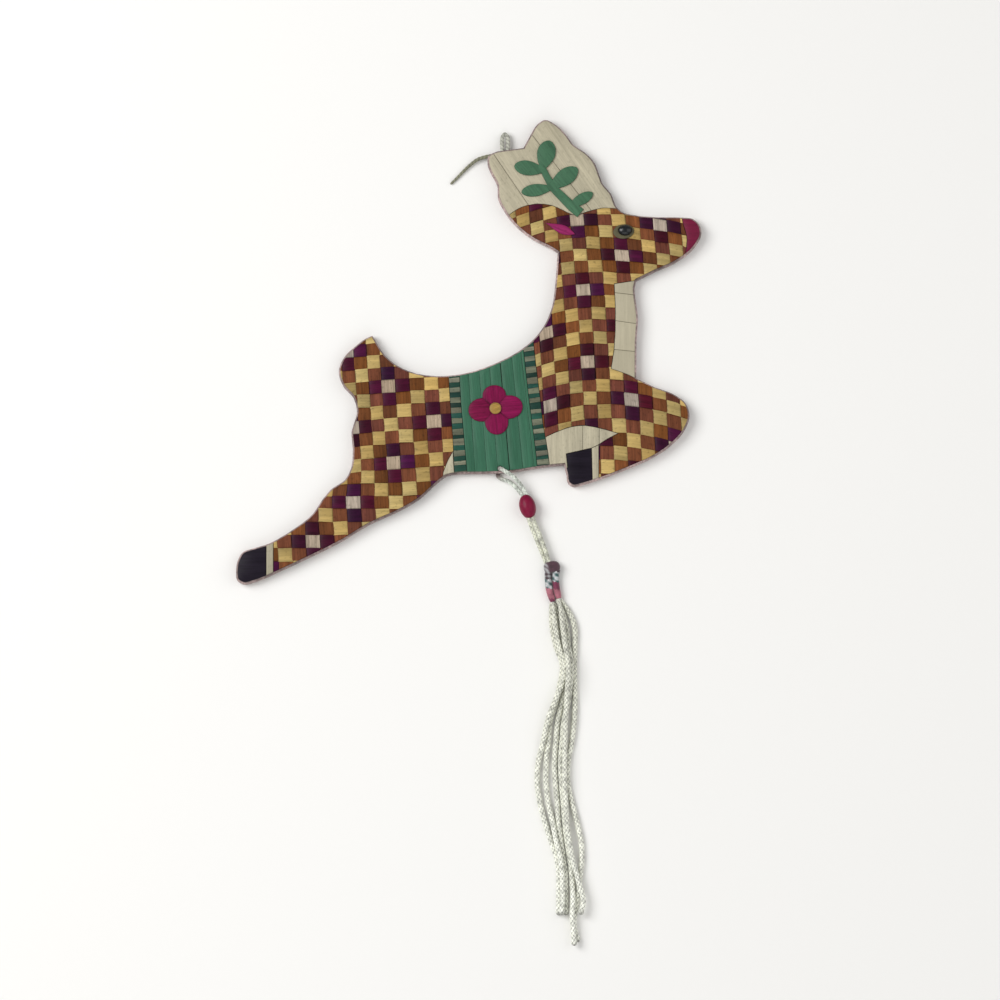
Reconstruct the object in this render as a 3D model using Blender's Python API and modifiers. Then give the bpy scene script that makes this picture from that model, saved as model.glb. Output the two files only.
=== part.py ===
"""A woven straw reindeer ornament with a cord tassel, modelled lying on its back.

The body is a card board bound in fabric. Straw panels are glued to its face: woven checks on the
hindquarters and forequarters, plain straw elsewhere. Small cut pieces (a leaf sprig, an ear, an eye,
a flower) are glued on top of those. A short loop and a cord end come out of the antler's edge, and a
doubled cord through a hole in the belly carries an oval bead and a tassel of braided strands.

Sizes are in millimetres, and MM turns them into Blender's metres. +Z is up, out of the face, +X runs
towards the nose and +Y towards the antler. The origin is under the middle of the body, without the
cords, on the surface that it lies on.
"""

import math

import bmesh
import bpy
from mathutils import Vector

MM = 0.001

# Layers of the body, from the back up
BOARD_THICK = 3.0
BOARD_ROUND = 0.6  # rounding of the bound rim
GLUE = 0.05
STRAW_THICK = 0.6
STRAW_INSET = 0.45  # the straw stops this far inside the bound rim
KERF = 0.12  # gap between neighbouring panels
PILLOW = 0.26  # how far a woven strip bulges between its neighbours
WEAVE_SINK = 0.1  # the strips' edges lie this far under the plain straw
TRIM_THICK = 0.45
STRAW_LOW = BOARD_THICK + GLUE
STRAW_TOP = STRAW_LOW + STRAW_THICK
ON_PLAIN = STRAW_TOP + GLUE
ON_WEAVE = STRAW_TOP - WEAVE_SINK + PILLOW + GLUE

# Cords
CORD_THICK = 1.15
STRAND_THICK = 1.55
STRAND_WRAPPED = 0.56  # a strand is this share of its thickness where the wrap pinches it
CORD_PLAY = 0.15  # room round a cord in a hole, groove or socket
CURVE_STEP = 0.8  # points along a curve are this far apart before it is thinned
FLATNESS = 0.05  # a thinned outline strays from its curve by no more than this

# The body's outline, clockwise from the notch between the antler's tines. Each run is one smooth
# curve, and the runs meet at corners.
CROWN_TO_CHIN = [
    (15.2, 57.7), (17.3, 61.6), (19.2, 64.5), (21.2, 65.7), (24.0, 64.5), (27.5, 61.0), (29.2, 58.6),
    (32.2, 56.6), (35.3, 53.2), (36.4, 50.3), (37.3, 47.8), (39.9, 44.4), (41.4, 40.8), (43.0, 39.4),
    (46.0, 38.6), (52.0, 38.0), (59.5, 37.9), (62.8, 37.5), (64.5, 36.0), (65.2, 33.5), (63.2, 29.4),
    (58.3, 25.4), (52.2, 22.6), (46.8, 19.9),
]
THROAT = [(46.8, 19.9), (46.4, 18.0), (46.8, 13.6), (47.3, 9.4), (46.9, 3.5), (46.8, -2.5), (46.8, -7.7)]
FORELEG = [
    (46.8, -7.7), (51.9, -10.2), (57.6, -12.4), (60.7, -14.9), (61.7, -18.3), (60.4, -22.2),
    (56.4, -26.7), (51.0, -30.3), (44.7, -33.1), (38.0, -35.7), (31.7, -37.7), (28.9, -38.2),
    (27.7, -37.4), (27.2, -34.8), (26.5, -32.2),
]
BELLY_TO_HOOF = [
    (26.5, -32.2), (21.4, -32.7), (12.5, -34.1), (4.0, -34.6), (-2.6, -34.7), (-6.3, -35.3),
    (-9.3, -37.6), (-13.8, -41.7), (-19.5, -45.1), (-27.8, -48.9), (-35.8, -53.8), (-44.4, -58.1),
    (-53.2, -62.2), (-60.0, -65.1), (-63.2, -65.7), (-64.9, -64.6), (-65.2, -62.4), (-64.6, -58.8),
    (-63.2, -56.7), (-61.0, -55.9),
]
HOOF_TO_TAIL = [
    (-61.0, -55.9), (-56.4, -54.5), (-49.7, -50.7), (-43.7, -45.9), (-41.0, -41.8), (-38.7, -39.1),
    (-34.8, -36.4), (-33.2, -33.4), (-32.6, -27.8), (-33.0, -23.2), (-31.5, -16.8), (-32.5, -13.1),
    (-35.3, -9.9), (-36.6, -5.7), (-35.0, -1.6), (-32.0, 1.3), (-29.0, 3.6), (-27.2, 4.4),
]
BACK = [
    (-27.2, 4.4), (-25.9, 2.2), (-24.2, -0.6), (-21.0, -3.6), (-16.7, -5.8), (-10.8, -7.0),
    (-4.7, -6.9), (2.6, -5.3), (8.6, -2.9), (14.1, 0.1), (18.0, 3.3), (21.0, 7.2), (23.2, 12.6),
    (24.2, 20.0), (24.8, 28.0),
]
NECK_TO_NOTCH = [
    (24.8, 28.0), (22.5, 29.4), (17.9, 31.7), (13.4, 35.2), (9.9, 39.6), (8.1, 43.2), (7.8, 47.2),
    (6.2, 50.2), (5.1, 53.4), (5.4, 55.4), (7.2, 56.5), (11.0, 57.1), (15.2, 57.7),
]

# Seams between the panels
ANTLER_SEAM = [
    (9.0, 36.6), (11.4, 38.7), (14.0, 40.4), (18.5, 41.6), (23.5, 41.1), (27.5, 39.2), (29.6, 38.5),
    (33.0, 39.4), (37.0, 40.4), (43.5, 40.1),
]
NOSE_SEAM = [(59.3, 39.5), (60.1, 35.8), (61.1, 32.2), (60.6, 27.0), (60.0, 24.0)]
THROAT_SEAM = [(40.7, 18.9), (41.0, 12.0), (40.9, 4.0), (40.5, -0.5), (39.8, -5.1)]
THROAT_FOOT = [(39.8, -5.1), (43.8, -6.5), (49.0, -9.0)]
REAR_BORDER_BACK = [(-5.9, -4.0), (-5.5, -12.0), (-4.8, -21.0), (-4.3, -30.0), (-4.0, -37.0)]
REAR_BORDER_FRONT = [(-2.9, -4.0), (-2.6, -12.0), (-1.9, -21.0), (-1.1, -30.0), (-0.5, -37.0)]
FRONT_BORDER_BACK = [(14.9, 3.5), (15.7, -4.0), (16.7, -13.0), (17.8, -21.5), (18.8, -29.5), (19.4, -36.0)]
FRONT_BORDER_FRONT = [(17.6, 5.5), (18.6, -4.0), (19.7, -12.5), (20.6, -21.0), (22.0, -29.0), (22.8, -36.0)]
BELLY_TOP = [(20.0, -25.1), (24.5, -23.0), (28.5, -21.6), (31.7, -21.2), (36.3, -21.9), (41.6, -23.4)]
BELLY_UNDERSIDE = [(41.6, -23.4), (38.9, -24.8), (35.3, -27.1)]
FORE_HOOF_TOP = [(27.2, -29.2), (34.3, -27.6)]
FORE_CUFF_TOP = [(34.3, -27.6), (36.2, -26.7)]
HIND_CUFF_X = (-56.7, -54.8)  # where the hind hoof ends and the cuff ends

# The woven check: upright strips about 3.9 wide, and level strips 3.3 to 3.9 wide across them.
# A cell is named by its column and row, and cell (0, 0) is a pale one in each panel.
HIND_CELLS = {"columns": (-12, 6), "rows": (-5, 17)}
FORE_CELLS = {"columns": (-5, 9), "rows": (-9, 16)}

# The hind weave, counted from the cream cell on the haunch
HAUNCH = (-22.7, -10.1)
HIND_STRIP_FRONT = 4.0  # the upright strips' pitch in front of the haunch
HIND_STRIP_REAR = 3.6  # behind it, where they crowd towards the rump
HIND_ROW = 3.6  # the level strips' pitch down the flank
HIND_RISE = 0.3  # a row rises this much a strip to the front, and runs level in the leg
HIND_LEAN = 0.25  # an upright strip moves this much to the front a row
LEG_STRIP = 4.0
LEG_ROW = 3.7
LEG_ROWS = (6, 9)  # the flank's weave turns into the leg's between these rows

# The fore weave, counted from the cream cell on the neck
NECK = (32.0, 17.2)
FORE_STRIP_FRONT = 3.9
FORE_STRIP_REAR = 3.7
HEAD_ROW = 3.3  # the rows' pitch above the neck's cream cell
NECK_ROW = 3.4
KNEE_ROW = 3.9
KNEE_FROM = 9  # the knee's wide rows start here
HEAD_LEAN = 0.3
NECK_LEAN = 0.2
CREST = 1  # the rows are highest at this strip and sag both ways
SAG_REAR = 0.14  # a row's drop, times the square of the strips away from the crest
SAG_FRONT = 0.06
SAG_KNEE = 0.12
KNEE_ROWS = (4, 8)  # the front sag turns into the knee's between these rows

# The flower
FLOWER_CENTRE = (7.3, -16.4)
FLOWER_DISC = 3.3
PETAL_REACH = (6.4, 7.4, 7.2, 7.5)  # from the flower's centre, anticlockwise from the top petal
PETAL_TURN = (95, 186, 275, 6)  # degrees, in the same order
PETAL_SHOULDER = 3.35  # a petal is widest this far from the centre
PETAL_WIDE = 6.3

# The leaf sprig: (where the leaf leaves the stem, its tip, its width)
STEM = [(31.2, 38.9), (28.4, 41.2), (26.0, 43.6), (23.5, 46.2), (22.1, 48.6), (21.0, 50.8), (20.3, 52.6)]
LEAVES = [
    ((20.4, 51.0), (22.5, 59.6), 5.2),
    ((21.4, 50.9), (12.6, 52.4), 4.2),
    ((22.4, 45.9), (30.4, 51.7), 4.7),
    ((23.8, 46.2), (14.6, 44.9), 3.5),
    ((27.6, 40.6), (34.7, 44.7), 3.1),
]
STEM_WIDE = 1.7

# The hanging loop and the loose end beside it
LOOP = [(9.3, 55.9, 1.5), (9.2, 57.6, 1.5), (9.15, 59.7, 1.5), (9.4, 61.2, 1.5), (10.0, 61.75, 1.5),
        (10.6, 61.2, 1.5), (10.85, 59.7, 1.5), (10.8, 57.6, 1.5), (10.7, 55.9, 1.5)]
LOOSE_END = [(7.6, 55.8, 1.4), (4.9, 55.4, 1.4), (2.4, 54.65, 1.2), (0.15, 53.05, 0.8), (-1.8, 51.2, 0.65),
             (-3.8, 49.15, 0.5), (-5.35, 47.65, 0.5)]

# The doubled cord: out of the tassel's cap, through the bead, over the belly's edge, down the hole,
# back under the edge and home again
HOLE = (8.6, -33.3)
GROOVE = [(8.6, -33.2, 1.2), (8.1, -34.1, 0.7), (8.1, -35.2, 0.6), (8.3, -37.0, 0.6)]
TASSEL_CORD = [
    (22.45, -60.3, 2.1), (22.1, -58.9, 2.1), (21.2, -56.0, 2.2), (19.8, -52.2, 2.3), (18.25, -48.4, 2.35),
    (17.0, -44.2, 2.4), (16.15, -40.8, 2.45), (15.1, -38.9, 2.6), (13.7, -37.0, 3.1), (11.9, -35.3, 4.0),
    (10.2, -34.3, 4.4), (9.1, -33.6, 4.4), (8.6, -33.3, 3.7), (8.6, -33.3, 2.4), (8.5, -33.4, 1.2),
    (8.1, -34.1, 0.75), (8.1, -35.2, 0.75), (9.1, -36.0, 0.9), (10.7, -36.5, 1.3), (12.4, -37.8, 1.8),
    (13.8, -39.35, 2.1), (14.9, -41.0, 2.25), (15.75, -44.2, 2.3), (17.05, -48.7, 2.2), (18.6, -52.6, 1.8),
    (20.1, -56.3, 1.4), (21.2, -59.0, 1.1), (21.75, -60.5, 1.1),
]
BEAD = {"centre": (16.3, -43.9, 2.37), "lean": 14.0, "half_long": 4.25, "radius": 2.25, "bore": 1.4}

# The tassel's head
CAP = {"centre": (23.1, -60.8, 1.6), "size": (4.7, 3.4, 3.1), "turn": 6.0}
WRAP_LEFT = [(22.1, -61.8, 1.3), (22.1, -64.2, 1.2), (22.35, -67.1, 1.15), (23.4, -70.5, 1.1)]
WRAP_RIGHT = [(24.4, -61.6, 1.4), (24.2, -64.2, 1.3), (24.45, -66.9, 1.25), (25.1, -69.6, 1.2)]
WRAP_RADII = (0.84, 0.96)  # at the cap and at the strands
WRAP_TURNS = 8

# The strands, from the wraps down. Strands that cross pass over each other a thickness apart.
STRANDS = [
    [(23.3, -70.9, 1.65), (23.6, -73.3, 2.1), (24.0, -77.3, 2.4), (25.0, -82.9, 2.4), (26.8, -88.6, 2.35),
     (25.8, -94.2, 2.5), (24.0, -98.5, 2.5), (21.9, -104.1, 2.4), (20.7, -109.7, 1.8), (19.3, -115.4, 0.9),
     (19.0, -121.0, 0.85), (19.7, -126.7, 0.85), (21.1, -132.3, 0.85), (22.9, -137.9, 0.85),
     (24.2, -141.6, 0.85), (24.9, -145.8, 0.85), (25.0, -150.6, 0.85), (24.9, -158.4, 0.85)],
    [(22.8, -70.9, 0.85), (22.9, -73.3, 0.82), (23.1, -77.3, 0.85), (24.2, -82.9, 0.85),
     (26.0, -88.6, 0.85), (25.2, -94.2, 0.85), (24.3, -98.5, 0.85), (22.6, -104.1, 0.85),
     (22.1, -109.7, 0.85), (21.5, -115.4, 0.85), (21.4, -121.0, 0.85), (22.0, -126.7, 0.9), (23.2, -132.3, 1.3),
     (24.3, -137.9, 2.1), (25.2, -141.6, 2.45), (25.8, -145.8, 2.45), (26.0, -150.6, 2.4),
     (25.8, -158.4, 2.35)],
    [(23.8, -70.9, 0.85), (24.4, -73.3, 0.82), (25.0, -77.3, 0.85), (26.0, -82.9, 0.85),
     (27.7, -88.6, 0.85), (26.9, -94.2, 0.85), (26.0, -98.5, 0.85), (24.7, -104.1, 0.85), (24.2, -109.7, 0.85),
     (23.8, -115.4, 0.85), (24.0, -121.0, 0.85), (24.5, -126.7, 0.85), (24.9, -132.3, 0.85),
     (25.6, -137.9, 0.85), (26.1, -141.6, 0.85), (26.7, -145.8, 0.85), (26.9, -150.6, 0.85),
     (26.9, -158.4, 0.85)],
    [(24.5, -69.9, 0.9), (25.9, -73.0, 1.1), (27.1, -77.3, 1.1), (27.7, -82.9, 1.5), (28.6, -88.6, 2.3),
     (28.15, -94.2, 2.1), (27.7, -98.5, 1.1), (26.4, -104.1, 0.85), (25.9, -109.7, 0.85),
     (25.5, -115.4, 0.85), (25.7, -121.0, 0.85), (26.2, -126.7, 0.85), (26.6, -132.3, 0.85),
     (27.3, -137.9, 0.85), (27.8, -141.6, 0.85), (28.4, -145.8, 0.85), (28.7, -150.0, 1.5),
     (28.9, -154.0, 2.3), (28.7, -158.4, 2.4), (28.9, -162.5, 2.4), (29.3, -167.0, 2.0)],
    [(25.0, -69.9, 1.7), (25.6, -73.0, 2.7), (26.1, -77.3, 2.75), (26.8, -82.9, 3.2), (27.7, -88.6, 3.75),
     (27.5, -94.2, 3.6), (27.2, -98.5, 2.7), (26.9, -104.1, 2.55), (26.7, -109.7, 2.45),
     (26.6, -115.4, 2.4), (26.6, -121.0, 2.4), (26.9, -126.7, 2.4), (27.2, -132.3, 2.4),
     (27.9, -137.9, 2.4), (28.5, -141.6, 2.4), (29.6, -145.8, 2.45), (30.8, -150.3, 2.5),
     (31.8, -154.3, 2.4), (31.0, -158.4, 2.4)],
    [(25.6, -69.9, 0.9), (27.6, -73.0, 0.85), (29.4, -77.3, 0.85), (29.5, -82.9, 0.85), (29.4, -88.6, 0.85),
     (29.45, -94.2, 0.85), (29.5, -98.5, 0.85), (29.3, -104.1, 0.85), (28.6, -109.7, 0.85),
     (27.6, -115.4, 0.85), (27.5, -121.0, 0.85), (28.6, -126.7, 0.85), (30.0, -132.3, 0.85),
     (31.2, -137.9, 0.85), (31.4, -142.5, 0.85), (31.0, -147.0, 0.85), (30.5, -151.0, 0.85),
     (29.9, -155.5, 0.85), (29.2, -160.5, 0.85), (30.4, -165.9, 0.85)],
]

# Colours as sRGB hex, with a roughness for each finish
FINISHES = {
    "bound_card": ("A98F95", 0.85),
    "natural_straw": ("B8AD8E", 0.55),
    "woven_straw": ("8A6136", 0.5),
    "green_straw": ("3C7056", 0.5),
    "teal_straw": ("1F4F44", 0.5),
    "black_straw": ("241C28", 0.45),
    "magenta_straw": ("8E1A50", 0.5),
    "pink_straw": ("C01F7A", 0.5),
    "gold_straw": ("B0974F", 0.5),
    "black_glass": ("15181A", 0.1),
    "dull_card": ("6A6154", 0.8),
    "painted_bead": ("84193F", 0.35),
    "cotton_cord": ("C9C8B8", 0.9),
    "grey_cord": ("8D8C70", 0.9),
    "wrapping_thread": ("5A1F3A", 0.7),
}


def clear_scene():
    for obj in list(bpy.data.objects):
        bpy.data.objects.remove(obj)


def new_collection(name):
    collection = bpy.data.collections.new(name)
    bpy.context.scene.collection.children.link(collection)
    return collection


def linear(hex_colour):
    """An sRGB hex colour as linear red, green, blue and alpha."""
    channels = (int(hex_colour[i : i + 2], 16) / 255 for i in (0, 2, 4))
    return [c / 12.92 if c <= 0.04045 else ((c + 0.055) / 1.055) ** 2.4 for c in channels] + [1.0]


def make_finishes():
    for name, (colour, roughness) in FINISHES.items():
        material = bpy.data.materials.new(name)
        material.use_nodes = True
        material.diffuse_color = linear(colour)
        shader = material.node_tree.nodes["Principled BSDF"]
        shader.inputs["Base Color"].default_value = linear(colour)
        shader.inputs["Roughness"].default_value = roughness


def smooth(points, step=CURVE_STEP):
    """Points about step apart along a smooth curve through the given ones, ends included."""
    knots = [Vector(point) for point in points]
    spans = [(b - a).length for a, b in zip(knots, knots[1:])]
    slopes = [(b - a) / span for a, b, span in zip(knots, knots[1:], spans)]
    tangents = [slopes[0]]
    for before, after, slope_in, slope_out in zip(spans, spans[1:], slopes, slopes[1:]):
        tangents.append((slope_in * after + slope_out * before) / (before + after))
    tangents.append(slopes[-1])
    found = [knots[0]]
    for i, span in enumerate(spans):
        pieces = max(1, round(span / step))
        for k in range(1, pieces + 1):
            t = k / pieces
            rise = t * t * (3 - 2 * t)
            found.append(
                knots[i] * (1 - rise)
                + knots[i + 1] * rise
                + tangents[i] * span * (t * (1 - t) ** 2)
                - tangents[i + 1] * span * (t * t * (1 - t))
            )
    return found


def thinned(points):
    """The same line with the points left out that lie within FLATNESS of the line without them."""
    if len(points) < 3:
        return points
    chord = points[-1] - points[0]
    side = Vector((-chord.y, chord.x)).normalized()
    strays = [abs((point - points[0]).dot(side)) for point in points]
    worst = max(range(len(points)), key=strays.__getitem__)
    if strays[worst] <= FLATNESS:
        return [points[0], points[-1]]
    return thinned(points[: worst + 1])[:-1] + thinned(points[worst:])


def eased(points):
    """A smooth line through the points, thinned."""
    return thinned(smooth(points))


def body_outline():
    """The body's closed outline, its corners kept, as points in order."""
    runs = (CROWN_TO_CHIN, THROAT, FORELEG, BELLY_TO_HOOF, HOOF_TO_TAIL, BACK, NECK_TO_NOTCH)
    found = []
    for run in runs:
        found += eased(run)[:-1]
    return found[::-1]


def grown(outline, distance):
    """A closed outline moved outwards by distance, or inwards where it is negative."""
    count = len(outline)
    doubled_area = sum(
        outline[i].x * outline[(i + 1) % count].y - outline[(i + 1) % count].x * outline[i].y
        for i in range(count)
    )
    side = math.copysign(distance, distance * doubled_area)
    moved = []
    for i, point in enumerate(outline):
        before = (point - outline[i - 1]).normalized()
        after = (outline[(i + 1) % count] - point).normalized()
        normal = Vector((before.y + after.y, -before.x - after.x)).normalized()
        stretch = max(0.4, normal.dot(Vector((before.y, -before.x))))
        moved.append(point + normal * side / stretch)
    return moved


def as_mesh(obj):
    """Replaces a curve object by the mesh that it makes, with its caps welded on."""
    bpy.context.view_layer.update()
    graph = bpy.context.evaluated_depsgraph_get()
    mesh = bpy.data.meshes.new_from_object(obj.evaluated_get(graph))
    work = bmesh.new()
    work.from_mesh(mesh)
    bmesh.ops.remove_doubles(work, verts=work.verts[:], dist=1e-7)
    bmesh.ops.recalc_face_normals(work, faces=work.faces[:])
    work.to_mesh(mesh)
    work.free()
    name, place, collection = obj.name, obj.matrix_world.copy(), obj.users_collection[0]
    bpy.data.objects.remove(obj)
    made = bpy.data.objects.new(name, mesh)
    made.matrix_world = place
    collection.objects.link(made)
    return made


def finish(obj, material):
    obj.data.materials.clear()
    obj.data.materials.append(bpy.data.materials[material])
    if obj.type == "MESH":
        obj.data.shade_smooth()
        obj.data.set_sharp_from_angle(angle=math.radians(35))
    return obj


def hide_cutter(obj):
    obj.hide_render = True
    obj.display_type = "WIRE"
    return obj


def plate(name, outline, low, high, collection, rim=0.0):
    """A flat plate with the given closed outline, its rim rounded by rim."""
    curve = bpy.data.curves.new(name, "CURVE")
    curve.dimensions = "2D"
    curve.fill_mode = "BOTH"
    curve.extrude = ((high - low) / 2 - rim) * MM
    curve.bevel_depth = rim * MM
    curve.offset = -rim * MM
    curve.bevel_resolution = 0
    spline = curve.splines.new("POLY")
    spline.points.add(len(outline) - 1)
    for point, place in zip(spline.points, outline):
        point.co = (place.x * MM, place.y * MM, 0, 1)
    spline.use_cyclic_u = True
    obj = bpy.data.objects.new(name, curve)
    obj.location.z = (low + high) / 2 * MM
    collection.objects.link(obj)
    return as_mesh(obj)


def tube(name, knots, diameter, collection, step, radii=None):
    """A round cord along a smooth curve through the knots. radii are shares of half the diameter."""
    curve = bpy.data.curves.new(name, "CURVE")
    curve.dimensions = "3D"
    curve.bevel_depth = diameter / 2 * MM
    curve.bevel_resolution = 2
    curve.use_fill_caps = True
    route = smooth(knots, step)
    spline = curve.splines.new("POLY")
    spline.points.add(len(route) - 1)
    for i, (point, place) in enumerate(zip(spline.points, route)):
        point.co = (*(place * MM), 1)
        point.radius = radii(i / (len(route) - 1)) if radii else 1.0
    obj = bpy.data.objects.new(name, curve)
    collection.objects.link(obj)
    return obj


def combine(obj, other, operation):
    """Adds a Boolean modifier: DIFFERENCE, INTERSECT or UNION with the other object."""
    modifier = obj.modifiers.new(f"{operation.lower()}_{other.name}", "BOOLEAN")
    modifier.operation = operation
    modifier.solver = "EXACT"
    modifier.object = other


def corners(*places):
    return [Vector(place) for place in places]


def band(back, front):
    """The closed region between two seams that run the same way."""
    return eased(back) + eased(front)[::-1]


def straw_regions():
    """The plain panels: name to (closed region, finish). A region may run past the body's rim."""
    hoof_x, cuff_x = HIND_CUFF_X
    antler = eased(ANTLER_SEAM) + corners((43.5, 70), (0, 70), (0, 36.6))
    nose = eased(NOSE_SEAM) + corners((70, 24), (70, 39.5))
    throat = eased(THROAT_SEAM)[:-1] + eased(THROAT_FOOT) + corners((50, -9), (50, 20.3))
    belly_front = eased(BELLY_TOP)[:-1] + eased(BELLY_UNDERSIDE) + corners((35.3, -36), (20, -36))
    belly_rear = corners((-4.6, -28.6), (-6.0, -31.1), (-7.3, -34.6), (-7.3, -38), (-3, -38), (-3, -28.6))
    hind_hoof = corners((hoof_x, -50), (hoof_x, -68), (-68, -68), (-68, -50))
    hind_cuff = corners((cuff_x, -50), (cuff_x, -68), (hoof_x, -68), (hoof_x, -50))
    fore_hoof = corners(*FORE_HOOF_TOP, (34.6, -40), (25, -40), (25, -35.6), (27.6, -33))
    fore_cuff = corners(*FORE_CUFF_TOP, (36.2, -40), (34.6, -40))
    return {
        "antler_panel": (antler, "natural_straw"),
        "nose": (nose, "magenta_straw"),
        "throat_panel": (throat, "natural_straw"),
        "belly_panel_front": (belly_front, "natural_straw"),
        "belly_panel_rear": (belly_rear, "natural_straw"),
        "saddle_panel": (band(REAR_BORDER_FRONT, FRONT_BORDER_BACK), "green_straw"),
        "saddle_border_rear": (band(REAR_BORDER_BACK, REAR_BORDER_FRONT), "teal_straw"),
        "saddle_border_front": (band(FRONT_BORDER_BACK, FRONT_BORDER_FRONT), "teal_straw"),
        "hind_hoof": (hind_hoof, "black_straw"),
        "hind_cuff": (hind_cuff, "natural_straw"),
        "fore_hoof": (fore_hoof, "black_straw"),
        "fore_cuff": (fore_cuff, "natural_straw"),
    }


# A panel is cut back by a kerf from each of these neighbours
CUT_BACK_FROM = {
    "saddle_panel": ("saddle_border_rear", "saddle_border_front"),
    "belly_panel_front": ("saddle_border_front", "fore_hoof", "fore_cuff"),
    "belly_panel_rear": ("saddle_border_rear",),
    "hind_hoof": ("hind_cuff",),
    "fore_hoof": ("fore_cuff",),
    "woven_hindquarters": ("saddle_border_rear", "belly_panel_rear", "hind_hoof", "hind_cuff"),
    "woven_forequarters": (
        "saddle_border_front", "antler_panel", "nose", "throat_panel", "belly_panel_front", "fore_hoof",
        "fore_cuff",
    ),
}


def between(row, rows):
    """How far a row lies from the first of two rows to the second: 0 above them and 1 below."""
    first, last = rows
    return min(max((row - first) / (last - first), 0.0), 1.0)


def hind_weave(column, row):
    """Where a place in the hind weave lies. The rows rise to the front and level out in the leg."""
    leg = between(row, LEG_ROWS)
    strip = HIND_STRIP_FRONT if column > 0 else HIND_STRIP_REAR + (LEG_STRIP - HIND_STRIP_REAR) * leg
    x = HAUNCH[0] + strip * column + HIND_LEAN * row
    down = HIND_ROW * row + (LEG_ROW - HIND_ROW) * max(row - LEG_ROWS[0], 0)
    y = HAUNCH[1] - down + HIND_RISE * (1 - leg) * column
    return Vector((x, y))


def fore_weave(column, row):
    """Where a place in the fore weave lies. The rows sag both ways from a crest, most at the knee."""
    strip = FORE_STRIP_FRONT if column > 0 else FORE_STRIP_REAR
    x = NECK[0] + strip * column + (HEAD_LEAN if row < 0 else NECK_LEAN) * row
    down = (HEAD_ROW if row < 0 else NECK_ROW) * row + (KNEE_ROW - NECK_ROW) * max(row - KNEE_FROM, 0)
    knee = between(row, KNEE_ROWS)
    sag = SAG_REAR if column < CREST else SAG_FRONT + (SAG_KNEE - SAG_FRONT) * knee
    y = NECK[1] + SAG_REAR * CREST**2 - down - sag * (column - CREST) ** 2
    return Vector((x, y))


def woven_sheet(name, cells, place, collection):
    """A closed sheet of woven cells: each bulges to a peak, and its underside is flat."""
    (first, last), (top, bottom) = cells["columns"], cells["rows"]
    across, down = last - first + 1, bottom - top + 1
    work = bmesh.new()
    bmesh.ops.create_grid(work, x_segments=across, y_segments=down, size=0.5)
    for vert in work.verts:
        at = place(first - 0.5 + (vert.co.x + 0.5) * across, bottom + 0.5 - (vert.co.y + 0.5) * down)
        vert.co = (at.x * MM, at.y * MM, (STRAW_TOP - WEAVE_SINK) * MM)
    bmesh.ops.poke(work, faces=work.faces[:], offset=PILLOW * MM, center_mode="MEAN")
    under = bmesh.ops.extrude_face_region(work, geom=work.faces[:])["geom"]
    for vert in under:
        if isinstance(vert, bmesh.types.BMVert):
            vert.co.z = STRAW_LOW * MM
    bmesh.ops.recalc_face_normals(work, faces=work.faces[:])
    mesh = bpy.data.meshes.new(name)
    work.to_mesh(mesh)
    work.free()
    obj = bpy.data.objects.new(name, mesh)
    collection.objects.link(obj)
    return obj


def paddle(start, tip, width, fullness=1.0):
    """A leaf's outline, narrow at its start and widest past its middle."""
    start, tip = Vector(start), Vector(tip)
    along = tip - start
    side = Vector((-along.y, along.x)).normalized()
    edge = []
    for k in range(1, 11):
        t = 1 - (1 - k / 11) ** 1.5
        half = width / 2 * math.sin(math.pi * t**1.35) ** fullness
        edge.append((t, half))
    left = [start + along * t + side * half for t, half in edge]
    right = [start + along * t - side * half for t, half in edge]
    return [start + along * 0.02] + right + [tip] + left[::-1]


def ribbon(line, widths):
    """The outline of a strip along a line, its width eased from widths[0] to widths[1]."""
    left, right = [], []
    for i, point in enumerate(line):
        ahead = (line[min(i + 1, len(line) - 1)] - line[max(i - 1, 0)]).normalized()
        side = Vector((-ahead.y, ahead.x))
        half = (widths[0] + (widths[1] - widths[0]) * i / (len(line) - 1)) / 2
        left.append(point + side * half)
        right.append(point - side * half)
    return right + left[::-1]


def oval(centre, long, wide, turn=0.0, sides=28):
    """An ellipse's outline, turned by turn degrees."""
    angle = math.radians(turn)
    found = []
    for k in range(sides):
        a = 2 * math.pi * k / sides
        x, y = long / 2 * math.cos(a), wide / 2 * math.sin(a)
        found.append(
            Vector((centre[0] + x * math.cos(angle) - y * math.sin(angle),
                    centre[1] + x * math.sin(angle) + y * math.cos(angle)))
        )
    return found


def pocket(obj, name, inner, outer, diameter, cutters):
    """Cuts a round pocket for a cord whose end lies at inner and which leaves towards outer."""
    inner, outer = Vector(inner), Vector(outer)
    deepest = inner + (inner - outer).normalized() * CORD_PLAY
    mouth = outer + (outer - inner).normalized() * diameter
    cutter = tube(name, [deepest, mouth], diameter + 2 * CORD_PLAY, cutters, 3.0)
    combine(obj, hide_cutter(as_mesh(cutter)), "DIFFERENCE")


def make_board(parts, cutters, outline):
    """The bound board, with the cord's hole, its groove in the back and pockets in the antler's edge."""
    board = plate("backing_board", outline, 0.0, BOARD_THICK, parts, rim=BOARD_ROUND)
    finish(board, "bound_card")
    pocket(board, "loop_pocket_left", LOOP[0], LOOP[1], CORD_THICK, cutters)
    pocket(board, "loop_pocket_right", LOOP[-1], LOOP[-2], CORD_THICK, cutters)
    pocket(board, "loose_end_pocket", LOOSE_END[0], LOOSE_END[1], CORD_THICK, cutters)
    groove = tube("cord_groove", GROOVE, CORD_THICK + 2 * CORD_PLAY, cutters, 0.6)
    combine(board, hide_cutter(as_mesh(groove)), "DIFFERENCE")
    combine(board, cord_hole(cutters), "DIFFERENCE")


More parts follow.
